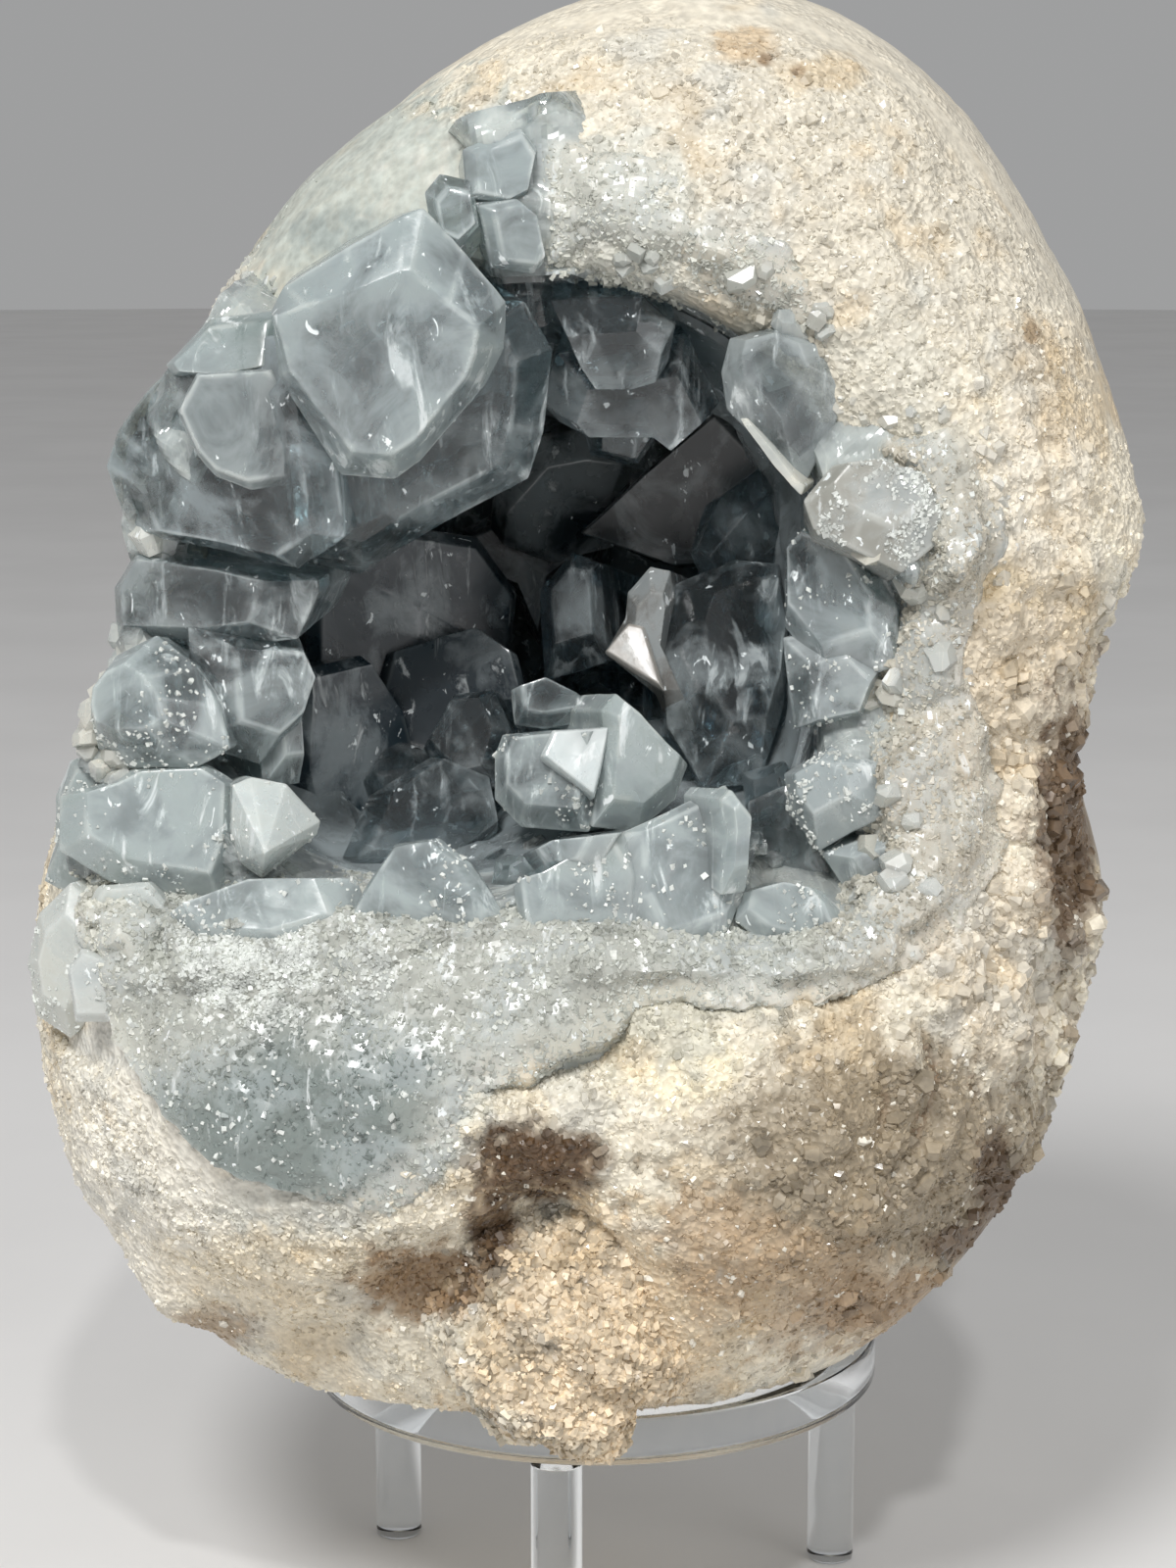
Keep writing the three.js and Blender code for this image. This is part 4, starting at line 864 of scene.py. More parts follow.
def crystal_finish(name, absorb, density, soft):
    """Clear crystal with milky veils: the fourth value goes from clear (0) to milky (1).

    Soft clouds, drawn-out wisps and small bright flaws add to the milk. The clearer a place, the
    more light passes through it.
    """
    f = Finish(name)
    tint, haze = f.tint()
    clouds = f.ramp(f.noise(95, 5, 0.6, 0.6), 0.35, 0.68, -0.24, 0.22)
    flaws = f.ramp(f.noise(420, 3, 0.7, 0.5, ((0.2, 0.9, 0.4), (1, 1, 0.65))), 0.64, 0.7, 0, 0.55)
    wisps = f.ramp(f.noise(260, 5, 0.65, 0.9, ((0.4, 0.2, 0.7), (1, 1, 0.25))), 0.53, 0.68, 0, 0.34)
    milk = f.maths("ADD", f.maths("ADD", haze, clouds), f.maths("ADD", flaws, wisps), clamp=True)
    bright = f.mix(f.ramp(f.maths("ADD", flaws, wisps), 0.1, 0.5), tint, (0.86, 0.9, 0.9))
    f.plug("Base Color", f.mix(milk, (0.84, 0.93, 0.95), bright))
    f.plug("Transmission Weight", f.ramp(milk, 0, 1, 0.98, 0.1))
    f.plug("Roughness", f.ramp(f.maths("MULTIPLY", milk, f.noise(420, 3)), 0.08, 0.5, 0.04, 0.3))
    flat = f.bump(f.noise(150, 2, 0.5, 0.2, ((0.3, 0.5, 0.2), (1, 0.35, 1))), 0.0001, 0.3)
    f.plug("Normal", f.bump(f.noise(800, 3, 0.6), 0.00005, 0.5, flat))
    f.plug("IOR", CRYSTAL_IOR)
    f.plug("Subsurface Weight", soft)
    f.plug("Subsurface Scale", 0.004)
    f.plug("Subsurface Radius", (0.8, 0.95, 1.0))
    volume = f.node("VolumeAbsorption", 0, {"Color": absorb, "Density": density})
    f.feed(f.tree.nodes["Material Output"].inputs["Volume"], volume)
    return f.material


def acrylic_finish():
    """Polished clear acrylic with faint rubbed marks."""
    f = Finish("clear_acrylic")
    rubbed = f.noise(160, 5, 0.6, 0.5, ((0, 0, 0.3), (1, 4, 1)))
    f.plug("Roughness", f.ramp(rubbed, 0.5, 0.8, 0.015, 0.1))
    f.plug("Base Color", f.mix(f.ramp(rubbed, 0.3, 0.7), (0.95, 0.97, 0.98), (0.9, 0.93, 0.95)))
    f.plug("IOR", ACRYLIC_IOR)
    f.plug("Transmission Weight", 1.0)
    return f.material


STONE = stone_finish()
GRAIN = grain_finish()
CRYSTAL = crystal_finish("milky_celestite", absorb=(0.55, 0.74, 0.8), density=28, soft=0.25)
# a darker copy of the crystal finish for inside the hollow: its stronger absorption is painted
# shade
SHADED_CRYSTAL = crystal_finish("shaded_celestite", absorb=(0.38, 0.56, 0.64), density=60, soft=0.0)
ACRYLIC = acrylic_finish()

# ---- the stone ---------------------------------------------------------------------------------

# Where the rough skin starts on the egg, as a part of the crest's angle, at every 30 degrees.
EDGE_START = [0.88, 0.88, 0.87, 0.76, 0.72, 0.74, 0.7, 0.72, 0.76, 0.86, 0.9, 0.9]
DRAWN_IN = 1.3  # how far the plain body lies under the grainy skin of the broken face
SOCKET = 5.0  # how far behind a rim crystal's face the stone lies
SOCKET_SLOPE = 1.5
SOCKET_REACH = 30  # no socket is felt this far from the middle of its crystal
BODY_COLUMNS, EGG_ROWS, BODY_FACE_ROWS, BODY_WALL_ROWS = 600, 116, 14, 18
FACE_COLUMNS, EDGE_ROWS, FACE_ROWS, WALL_ROWS = 780, 44, 62, 6
FACE_THICKNESS, FACE_UNDER = 2.6, 8  # the skin's underside has every eighth row
LUMP_COLUMNS, LUMP_ROWS = 400, 200


def clock(columns):
    """Even clock turns from 0 up to 1, without the last, because the columns close."""
    return np.arange(columns) / columns


def row_steps(start, end, count):
    """Even parts of the way from start to end, as a column: one for each row of a grid."""
    return np.linspace(start, end, count)[:, None]


def crest_at(columns):
    """Clock turns in one row, with the crest's angles from the opening's axis and its places."""
    turn = clock(columns)[None]
    angle = marks(CREST_ANGLE, turn)
    return turn, angle, on_egg(turn, angle)


def socketed(p, deeper=0.0):
    """Pushes the stone back behind each rim crystal, along a slope outside the outline."""
    uv = seen_at(p)
    for row in RIM_CRYSTALS:
        at, normal = face_plane(row)
        normal = unit(normal)
        near = np.linalg.norm(uv - np.mean(row["outline"], axis=0), axis=-1) < SOCKET_REACH
        if not near.any():
            continue
        behind = -((p[near] - at) @ normal) / normal[1]
        outside = np.minimum(inside_by(uv[near], row["outline"]), 0)
        push = SOCKET + deeper + behind + outside * SOCKET_SLOPE
        moved = p[near]
        moved[:, 1] += np.maximum(push, 0)
        p[near] = moved
    return p


def stone_body():
    """The whole stone: back pole, ground egg, the face and the hollow's wall, one closed skin.

    The ground egg is swelled by two soft noises and pitted where the sum of two others is high.
    From the rough skin's start on, the body is drawn in under it. In the hollow its colour turns
    dark, as painted shade.
    """
    turn, angle, crest = crest_at(BODY_COLUMNS)
    egg = row_steps(POLE, 1, EGG_ROWS)
    start = marks(EDGE_START, turn)
    outside = weathered(on_egg(turn, angle * egg), GROUND_SWELL)
    pits = np.maximum(swell(outside, 3.2, 91) + 0.5 * swell(outside, 1.3, 92) - 0.55, 0)
    lift = 0.3 * swell(outside, 16, 93) + 0.14 * swell(outside, 6, 94) - 1.1 * pits
    outside += outward_ray(outside) * lift[..., None]
    under_skin = smooth(start + 0.004, start + 0.05, egg)
    outside -= outward_ray(outside) * (DRAWN_IN * under_skin)[..., None]
    face = row_steps(0, 1, BODY_FACE_ROWS)[1:-1]
    middle = weathered(front_point(turn, face, crest), BROKEN_SWELL)
    middle -= outward_ray(middle) * DRAWN_IN
    part = row_steps(0.02, 1 - POLE, BODY_WALL_ROWS)
    wall = wall_point(turn, part)
    grid = np.concatenate([outside, socketed(np.concatenate([middle, wall]), 4.0)])
    grid += outward_ray(grid) * (0.12 * swell(grid, 5, 3) + 0.05 * swell(grid, 1.7, 4))[..., None]
    # painted shade: the colour darkens from the end of the face into the hollow's wall
    dark = np.concatenate([np.zeros(len(outside) + len(middle) - 2), np.linspace(0, 1, 5)[:-1],
                           np.ones(len(wall) - 2)])[:, None]
    tint = blend(stone_colour(grid), colour(62, 74, 80), dark)
    broken = np.concatenate([smooth(start - 0.05, start + 0.03, egg),
                             np.ones((len(grid) - EGG_ROWS, BODY_COLUMNS))])
    skin_piece("rind_body", grid, tint, broken, STONE, "geode_rind", sharp=60)


def ground_flat(p):
    """1 where the upper left was ground off with the egg's outside, through stone and crystal."""
    far = ellipse(seen_at(p), *GROUND_PATCH) + 0.1 * swell(p, 6, 51)
    return smooth(1.25, 0.95, far) * smooth(-6, -12, p[..., 1])


def face_places():
    """The broken face with its edge on the egg and its edge in the hollow, as a grid."""
    turn, angle, crest = crest_at(FACE_COLUMNS)
    start = marks(EDGE_START, turn)
    edge = start + (1 - start) * row_steps(0, 1, EDGE_ROWS)[:-1]
    face = front_point(turn, row_steps(0, 1, FACE_ROWS), crest)
    wall = row_steps(0, 0.16, WALL_ROWS)[1:]
    return np.concatenate([
        weathered(on_egg(turn, angle * edge), GROUND_SWELL),
        weathered(face, BROKEN_SWELL * (1 - ground_flat(face))),
        wall_point(turn, wall, 0.2),
    ])


def grainy_face():
    """The broken face's skin: two sizes of cube grains over the plain face, closed underneath.

    At the right edge great cubes make ragged layers, brown where they lie deepest. The skin dips
    under the egg's surface at its outer edge and behind the wall at its inner one. It gives its
    outer places and their outward directions.
    """
    plain = face_places()
    n = normals(plain)
    n *= np.sign(np.sum(n * outward_ray(plain), -1).mean())
    coarse, _ = grains(plain, 3.0, 5)
    fine, owner = grains(plain, 1.3, 6)
    layer, _ = grains(plain * np.array([1, 1, 0.6]), 8.0, 8)
    row = np.arange(len(plain))[:, None]
    broken = smooth(2, 22, row + 8 * swell(plain, 7, 55)) * (1 - ground_flat(plain))
    turn = clock(FACE_COLUMNS)[None]
    ragged = smooth(0.22, 0.28, turn) * smooth(0.46, 0.4, turn)
    ragged = ragged * smooth(4, 20, row) * smooth(76, 54, row)
    lift = 0.26 * coarse + 0.36 * fine + 0.6 * swell(plain, 9, 7) + 0.5 * swell(plain, 15, 59)
    lift = lift - 0.3 + ragged * (0.75 * layer - 1.6)
    outer_edge = smooth(4, 0, row)
    inner_edge = smooth(len(plain) - 11, len(plain) - 5, row)
    lift = lift * broken - 0.6 * outer_edge - 1.6 * inner_edge
    top = socketed(plain + n * lift[..., None])
    top[..., 2] = np.maximum(top[..., 2], FLAT_BOTTOM)
    tint = stone_colour(top) * (0.95 + 0.1 * owner[..., None])
    tint = blend(tint, colour(112, 86, 60), ragged * smooth(1.6, 0.2, layer) * 0.85)
    grid = np.concatenate([top, (top - n * FACE_THICKNESS)[::-FACE_UNDER]])
    tint, broken = there_and_back(tint, FACE_UNDER), there_and_back(broken, FACE_UNDER)
    skin_piece("rind_face", grid, tint, broken, STONE, "geode_rind", sharp=14, ring=True)
    return top, n


def hanging_lump():
    """The sugary lump: a ball with uneven radii under three sizes of cube grains.

    It is cut off flat underneath, at the lowest point before the ring and higher over it. It gives
    its places and their outward directions.
    """
    down = row_steps(0.004, 1 - 0.004, LUMP_ROWS) * np.pi
    around = clock(LUMP_COLUMNS)[None] * 2 * np.pi
    way = np.stack(np.broadcast_arrays(np.sin(down) * np.cos(around), np.sin(down) * np.sin(around),
                                       np.cos(down)), -1)
    reach = 1 + 0.08 * np.sin(5 * way[..., 0] + 7 * way[..., 2]) + 0.05 * swell(way, 0.4, 9)
    plain = way * reach[..., None] * LUMP_SIZE + LUMP_AT
    tall, _ = grains(plain, 5.5, 12)
    coarse, _ = grains(plain, 2.8, 13)
    fine, owner = grains(plain, 1.3, 14)
    lift = 0.45 * tall + 0.34 * coarse + 0.34 * fine - 1.5
    p = plain + way * lift[..., None]
    level = np.where(p[..., 1] < LUMP_FRONT, LUMP_BOTTOM, FLAT_BOTTOM)
    p[..., 2] = np.maximum(p[..., 2], level)
    # painted shade: the low places between the grains are darkened by up to six tenths
    crevice_shade = smooth(1.2, 0.0, lift + 1.0)[..., None]
    tint = stone_colour(p) * (0.9 + 0.2 * owner[..., None]) * (1 - 0.6 * crevice_shade)
    skin_piece("bottom_lump", p, tint, 1.0, STONE, "geode_rind", sharp=14)
    return p, way


# ---- small solids scattered over a surface -----------------------------------------------------

def stacked(heap, shape, axes, places, tints, value):
    """Adds many small solids, each a stack of rings of corners turned by its own axes."""
    count, levels, corners = shape.shape[:3]
    p = np.einsum("nij,nlcj->nlci", axes, shape) + places[:, None, None]
    base = np.arange(count)[:, None] * levels * corners
    step = np.arange(corners)
    following = (step + 1) % corners
    rings = [np.stack([step, following, corners + following, corners + step], -1) + corners * level
             for level in range(levels - 1)]
    quads = (base[:, None] + np.concatenate(rings)[None]).reshape(-1, 4)
    caps = np.concatenate([base + step[::-1], base + (levels - 1) * corners + step])
    shade = np.repeat(with_value(tints, value), levels * corners, axis=0)
    heap.add(p.reshape(-1, 3), shade, [(4, quads), (corners, caps)])


def chips(heap, places, sizes, seed, tints, value, corners=5):
    """Small blunt crystals, each turned and stretched its own way.

    One chip is three rings of corners round an axis: a small foot, a wide girdle and a top of
    chance width, which is slanted. Its corners stand unevenly round the ring. One of four corners
    has no foot, so it is a slanted block.
    """
    key = np.arange(len(places)) + seed * 100003
    uneven = 0.09 * (chance(key[:, None] * 5 + np.arange(corners), 1) - 0.5)
    place_round = (np.arange(corners) / corners)[None] + uneven
    ring = np.stack([np.cos(2 * np.pi * place_round), np.sin(2 * np.pi * place_round)], -1)
    flat = 0.6 + 0.4 * chance(key, 2)
    top = 0.25 + 0.5 * chance(key, 3)
    slant = 0.6 * np.stack([chance(key, 4) - 0.5, chance(key, 5) - 0.5], -1)
    tall = 0.5 + 0.5 * chance(key, 6)
    foot, girdle, lid = (0.6 + 0 * top, -tall), (1 + 0 * top, 0.1 * tall), (top, tall)
    if corners == 4:
        foot, girdle, lid = None, (1 + 0 * top, -0.6 * tall), (0.5 + 0.9 * top, 0.6 * tall)
    levels = []
    for wide, high in filter(None, (foot, girdle, lid)):
        corner = ring * wide[:, None, None] * np.stack([np.ones_like(flat), flat], -1)[:, None]
        rise = high[:, None] + np.sum(corner * slant[:, None], -1) * (high > 0.3)[:, None]
        levels.append(np.concatenate([corner, rise[..., None]], -1))
    shape = np.stack(levels, 1) * (sizes / 2)[:, None, None, None]
    stacked(heap, shape, turns(key), places, tints, value)


def scatter(grid, way, weight, count, rng):
    """Places on a grid drawn by area times weight, with the outward direction there."""
    a, b, c = grid[:-1], np.roll(grid, -1, axis=1)[:-1], grid[1:]
    odds = (np.linalg.norm(np.cross(b - a, c - a), axis=-1) * weight[:-1]).ravel()
    pick = rng.choice(len(odds), size=count, p=odds / odds.sum())
    part = rng.random((count, 2, 1))
    a, b, c, w = (x.reshape(-1, 3)[pick] for x in (a, b, c, way[:-1]))
    return a + (b - a) * part[:, 0] + (c - a) * part[:, 1], w


# ---- the milky field ---------------------------------------------------------------------------

# Round patches in the view: [right, up] of the middle, half its [width, height].
GROUND_PATCH = (-29, 65), (16, 13)
BLUE_PATCH = (-37, -50), (19, 14)
FROSTED_PATCH = (-41, -31), (16, 8)

# Where the crust runs on as one milky mass, under the floor's edge, up the right side and over
# the roof: [right, up] places.
FIELDS = [[
    (-72, -17), (-62, -19), (-50, -21), (-30, -20), (-20, -22), (-9, -22), (2, -23), (14, -24),
    (23, -25), (32, -23), (36, -18), (35, -8), (37, 4), (40, 14), (42, 22), (43, 30), (38, 35),
    (46, 38), (53, 28), (51, 16), (47, 6), (51, -4), (53, -16), (47, -27), (36, -34), (24, -36),
    (10, -35.5), (1, -41), (-12, -47), (-16, -56), (-26, -65), (-44, -67), (-57, -59),
    (-65, -46), (-71, -30),
], [
    (-5, 75), (10, 72), (16, 66), (27, 61), (33, 52), (31, 45), (24, 50), (14, 55), (2, 57),
    (-5, 59),
]]


def milky_field(p):
    """How far inside the milky mass a place is, in millimetres, under 0 outside it."""
    uv = seen_at(p)
    edge = np.maximum(*(inside_by(uv, outline) for outline in FIELDS))
    edge = edge + 1.6 * swell(p, 7, 52) + 0.8 * swell(p, 2.2, 53)
    return np.where(p[..., 1] < 8, edge, -9)


def near_crystals(uv):
    """How far inside the nearest rim crystal's outline a place is, under 0 outside it."""
    near = np.full(uv.shape[:-1], -99.0)
    for row in RIM_CRYSTALS:
        near = np.maximum(near, inside_by(uv, row["outline"]))
    return near


# ---- tablets and prisms ------------------------------------------------------------------------

RIM = 0.45  # an extra row this far from each edge, so that its whitened line, partly wear and partly painted highlight, stays narrow
# the colour of whitened edges: partly worn frosting, partly a painted highlight
WORN_AND_HIGHLIGHT = colour(226, 230, 226)
TERRACE = 0.05  # height of a growth step
BACK_SIZE = 0.8  # how much of its outline a tablet's buried back has
# Radius of a tablet's and a prism's edges, and how far apart a prism's rows are.
EDGE_RADIUS, PRISM_EDGE, PRISM_STEP = 0.25, 0.3, 1.6


def stepped(start, end, length, step, rim):
    """Weight rows between two others at even steps, and each row's distance to the nearer end."""
    if length <= 2.5 * rim:
        return [], []
    count = max(1, round((length - 2 * rim) / step))
    far = rim + (length - 2 * rim) * np.arange(1, count) / count
    if rim:
        far = np.concatenate([[rim], far, [length - rim]])
    return [start + (end - start) * d / length for d in far], list(np.minimum(far, length - far))


def corner_weights(length, radius, step, rim):
    """Weights that round a closed outline: each corner a quadratic curve, each edge in steps."""
    n, own, rows, away = len(length), np.eye(len(length)), [], []
    for k in range(n):
        before, after = own[k - 1], own[(k + 1) % n]
        back, on = (min(radius / length[j], 0.3) for j in (k - 1, k))
        start, end = (1 - back) * own[k] + back * before, (1 - on) * own[k] + on * after
        edge_end, edge_length = (1 - on) * after + on * own[k], length[k] * (1 - 2 * on)
        more, far = stepped(end, edge_end, edge_length, step, rim)
        rows += [start, 0.25 * start + 0.5 * own[k] + 0.25 * end, end, *more]
        away += [0, 0, 0, *far]
    return np.array(rows), np.array(away)


def ring_weights(length, radius, step, rim):
    """The same for the open path of rings, from the front's middle to the back's middle.

    The distance runs on over the whole of the front and the back.
    """
    n, own, rows, away = len(length) + 1, np.eye(len(length) + 1), [], []
    for k in range(n - 1):
        on = min(radius / length[k], 0.3)
        first, last = k == 0, k == n - 2
        start = own[k] if first else (1 - on) * own[k] + on * own[k + 1]
        end = own[k + 1] if last else (1 - on) * own[k + 1] + on * own[k]
        if not first:
            back = min(radius / length[k - 1], 0.3)
            before = (1 - back) * own[k] + back * own[k - 1]
            rows += [before, 0.25 * before + 0.5 * own[k] + 0.25 * start, start]
            away += [0, 0, 0]
        more, far = stepped(start, end, length[k], step, rim or 0.2)
        here = np.arange(1, len(more) + 1) / (len(more) + 1) * length[k]
        far = length[k] - here if first else (here if last else far)
        rows += more
        away += list(far)
    return np.array(rows), np.array(away)


def rounded_gem(heap, rings, tint, haze, radius, step, worn_and_highlight=0.0, rim=0.0):
    """A crystal from rings of corners: both ways round it is cut by rounded, stepped weights.

    Its faces are lifted by low terraces: noise whose value is taken in level steps. Its edges are
    whitened, by the amount before rim, partly as wear and partly as a painted highlight, by the
    falling exponential of the distance to the nearest edge, here and there.
    """
    rings = np.array(rings)
    ends = [rings[:1].mean(1, keepdims=True) + 0 * rings[:1],
            rings[-1:].mean(1, keepdims=True) + 0 * rings[-1:]]
    rings = np.concatenate([ends[0], rings, ends[1]])
    edges = np.linalg.norm(np.roll(rings, -1, axis=1) - rings, axis=-1).max(0)
    bands = np.linalg.norm(np.diff(rings, axis=0), axis=-1).mean(1)
    across, off_corner = corner_weights(edges, radius, step, rim)
    along, off_ring = ring_weights(bands, radius, step, rim)
    grid = np.einsum("ar,bc,rcx->abx", along, across, rings)
    n = normals(grid)
    n *= np.sign(np.sum(n * (grid - grid.mean((0, 1))), -1, keepdims=True).mean())
    level = 2.5 * (swell(grid * np.array([1, 1, 0.6]), 6.0, 31) + 0.4 * swell(grid, 2.2, 32))
    terrace = np.floor(level) + smooth(0.7, 1, level - np.floor(level))
    grid = grid + n * (TERRACE * terrace)[..., None]
    off_cap = smooth(0.12, 0.04, along[:, :1] + along[:, -1:])
    edge = np.maximum(np.exp(-off_ring / 0.35)[:, None],
                      0.7 * off_cap * np.exp(-off_corner / 0.3)[None])
    # whitened edges: partly wear, partly a painted highlight where the edges catch light
    edge = edge * worn_and_highlight * smooth(-0.45, 0.35, swell(grid, 3.5, 33) + 0.6 * swell(grid, 1.1, 34))
    rim_milk = 0.1 * np.maximum(np.exp(-off_ring / 2.4)[:, None],
                                off_cap * np.exp(-off_corner / 2.4))
    haze = np.clip(haze + bool(worn_and_highlight) * rim_milk + 0.6 * edge, 0, 1)
    heap.skin(grid, with_value(blend(tint, WORN_AND_HIGHLIGHT, edge), haze))
    return grid, n


def tablet(heap, row, step, tint, worn_and_highlight):
    """A tablet: its front face, its full outline and its buried back.

    It gives its places, their outward directions and which of them face the front.
    """
    at, normal = face_plane(row)
    normal = unit(normal)
    girdle = on_sight(row["outline"], at, normal)
    middle = girdle.mean(0)
    right = unit(np.array([1.0, 0, 0]) - normal[0] * normal)
    up = np.cross(normal, right)
    up *= np.sign(up[2])
    if len(row["front"]) == 3:
        size, to_right, to_up = row["front"]
        front = (girdle - middle) * size + middle + right * to_right + up * to_up
        front = front + normal * row["rise"]
    else:
        front = on_sight(np.array(row["front"]), at + normal * row["rise"], normal)
    back = (girdle - middle) * BACK_SIZE + middle - normal * row["thick"]
    shade = colour(*row.get("shade", tint))
    grid, n = rounded_gem(heap, [front, girdle, back], shade, row["haze"], EDGE_RADIUS, step, worn_and_highlight,
                          RIM)
    facing = (n @ normal > 0.2) & ((grid - at) @ normal > -0.5)
    return grid, n, facing


HEXAGON = np.array([(-1, 0), (-0.7, -1), (0.7, -1), (1, 0), (0.7, 1), (-0.7, 1)])


def part_chance(seed):
    """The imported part's own chance value: the far digits of a fast sine."""
    wave = math.sin(seed * 12.9898 + 4.1414) * 43758.5453
    return wave - math.floor(wave)


def prism(heap, root, tip, width, seed, tint, haze):
    """A six-sided crystal from its root to its tip, narrowing from its shoulder on."""
    length = np.linalg.norm(tip - root)
    along = (tip - root) / length
    side = np.array([part_chance(seed + k) - 0.5 for k in range(3)])
    side = unit(side - along * (side @ along))
    across = np.cross(along, side)
    thickness = width * (0.55 + 0.3 * part_chance(seed + 3))
    outline = (HEXAGON[:, :1] * side * width + HEXAGON[:, 1:] * across * thickness) / 2
    levels = ((length, 0.25 + 0.3 * part_chance(seed + 5)),
              (length * (0.55 + 0.25 * part_chance(seed + 4)), 1), (-4, 0.8))
    rings = [root + along * high + outline * size for high, size in levels]
    rounded_gem(heap, rings, tint, haze, PRISM_EDGE, PRISM_STEP)


# The prisms round the hollow's wall: how far from the lip, how many, their length and width.
PRISMS = [(0.3, 6, 15, 16), (0.6, 4, 16, 17), (0.88, 2, 13, 16)]


def wall_prisms(heap, tint, haze):
    """The prisms that lean out of the hollow's wall between the tablets."""
    for ring, (along, count, length, width) in enumerate(PRISMS):
        for k in range(count):
            seed = 31 * ring + 7 * k + 3
            turn = np.array((k + 0.5 * (ring % 2) + 0.5 * (part_chance(seed) - 0.5)) / count)
            root = wall_point(turn, np.array(along), 1.0)
            aim = on_clock(turn, 4 + 8 * part_chance(seed + 6),
                           root[1] - (8 + 8 * part_chance(seed + 8)))
            tip = root + unit(aim - root) * length * (0.75 + 0.5 * part_chance(seed + 9))
            prism(heap, root, tip, width * (0.8 + 0.4 * part_chance(seed + 10)), seed, tint, haze)


# ---- the milky mass ----------------------------------------------------------------------------

def mass_colour(p):
    """Colour of the milky mass at each place, and how blue it is: one blue patch in paler sugar."""
    uv = seen_at(p)
    patch = ellipse(uv, *BLUE_PATCH) + 0.25 * swell(p, 6, 76) + 0.15 * swell(p, 2, 77)
    patch = smooth(1.25, 0.5, patch)
    pale = smooth(-54, -64, uv[..., 0] + 4 * swell(p, 5, 78)) * (1 - patch)
    warm = smooth(24, 42, uv[..., 0] + 5 * swell(p, 6, 79)) * (0.55 + 0.3 * swell(p, 4, 80))
    white = smooth(48, 56, uv[..., 1]) * 0.7
    tint = colour(180, 182, 174) * np.ones(p.shape)
    for weight, shade in ((patch * 0.9, (120, 130, 127)), (pale, (206, 205, 194)),
                          (warm, (196, 186, 168)), (white, (198, 198, 188))):
        tint = blend(tint, colour(*shade), weight)
    return tint, patch


MASS_COLUMNS, MASS_FACE_ROWS, MASS_WALL_ROWS = 620, 60, 16
MASS_UNDER = 6  # the mass's underside has every sixth row
MASS_REACH = 0.3  # how far it goes on along the hollow's wall


def rim_level(plain, uv):
    """Mean depth of the faces of the rim's crystals, and how near the nearest crystal is.

    The faces' planes are weighted by nearness. The first great blade, which leans over the others,
    is left out.
    """
    total, depth, nearness = 1e-6, 0, np.full(uv.shape[:-1], -99.0)
    for row in RIM_CRYSTALS[1:]:
        away = inside_by(uv, row["outline"])
        at, normal = face_plane(row)
        level = at[1] + ((plain - at) * normal)[..., [0, 2]].sum(-1)
        level = np.clip(level, row["depth"] - 2, row["depth"] + 12)
        weight = (1 + np.maximum(-away, 0) / 2.0) ** -5.0
        total, depth = total + weight, depth + weight * level
        nearness = np.maximum(nearness, away)
    return depth / total, nearness


def mass_depth(plain, uv, behind_lip):
    """Depth of the mass, and where it is near crystals, in the milky field and at its seam.

    Near crystals it moves to their mean depth, less so behind the lip. In the milky field it lies
    over the stone, banked up along the floor's crystals, and it is flush with the stone at the
    seam, where the field ends in stone and not at a crystal. Elsewhere it sinks under the stone.
    """
    level, nearness = rim_level(plain, uv)
    inward = milky_field(plain)
    touch = smooth(-6, -1, nearness) * smooth(-33, -27, uv[..., 1])
    field, deep_in = smooth(-1.5, 1.2, inward), smooth(-0.5, 9 - 7 * touch, inward)
    bank = smooth(-36, -29, uv[..., 1]) * smooth(-19, -24, uv[..., 1])
    bank = bank * (0.5 + 0.7 * swell(plain, 6, 77) + 0.3 * swell(plain, 2.5, 70))
    ground = ground_flat(plain)
    near = smooth(-9, -3, nearness + 2.0 * swell(plain, 5, 71)) * (1 - ground)
    near = near * smooth(-34, -27, uv[..., 1])
    y = plain[..., 1] + 3.6 - 2.4 * near + 3 * ground
    y = y + near * (level + 2.0 - y) * smooth(1, 0.1, behind_lip)
    far = smooth(-3, -11, nearness)
    cover = plain[..., 1] - 1.0
    skin = np.minimum((level - 0.6) * (1 - far) + cover * far, cover) + 0.8 * swell(plain, 9, 74)
    skin -= 2.6 * np.maximum(bank, 0)
    flush = plain[..., 1] + 0.5
    y = y + field * (flush + deep_in * (skin - flush) - y)
    return y, near, field, field * (1 - deep_in) * (1 - touch)


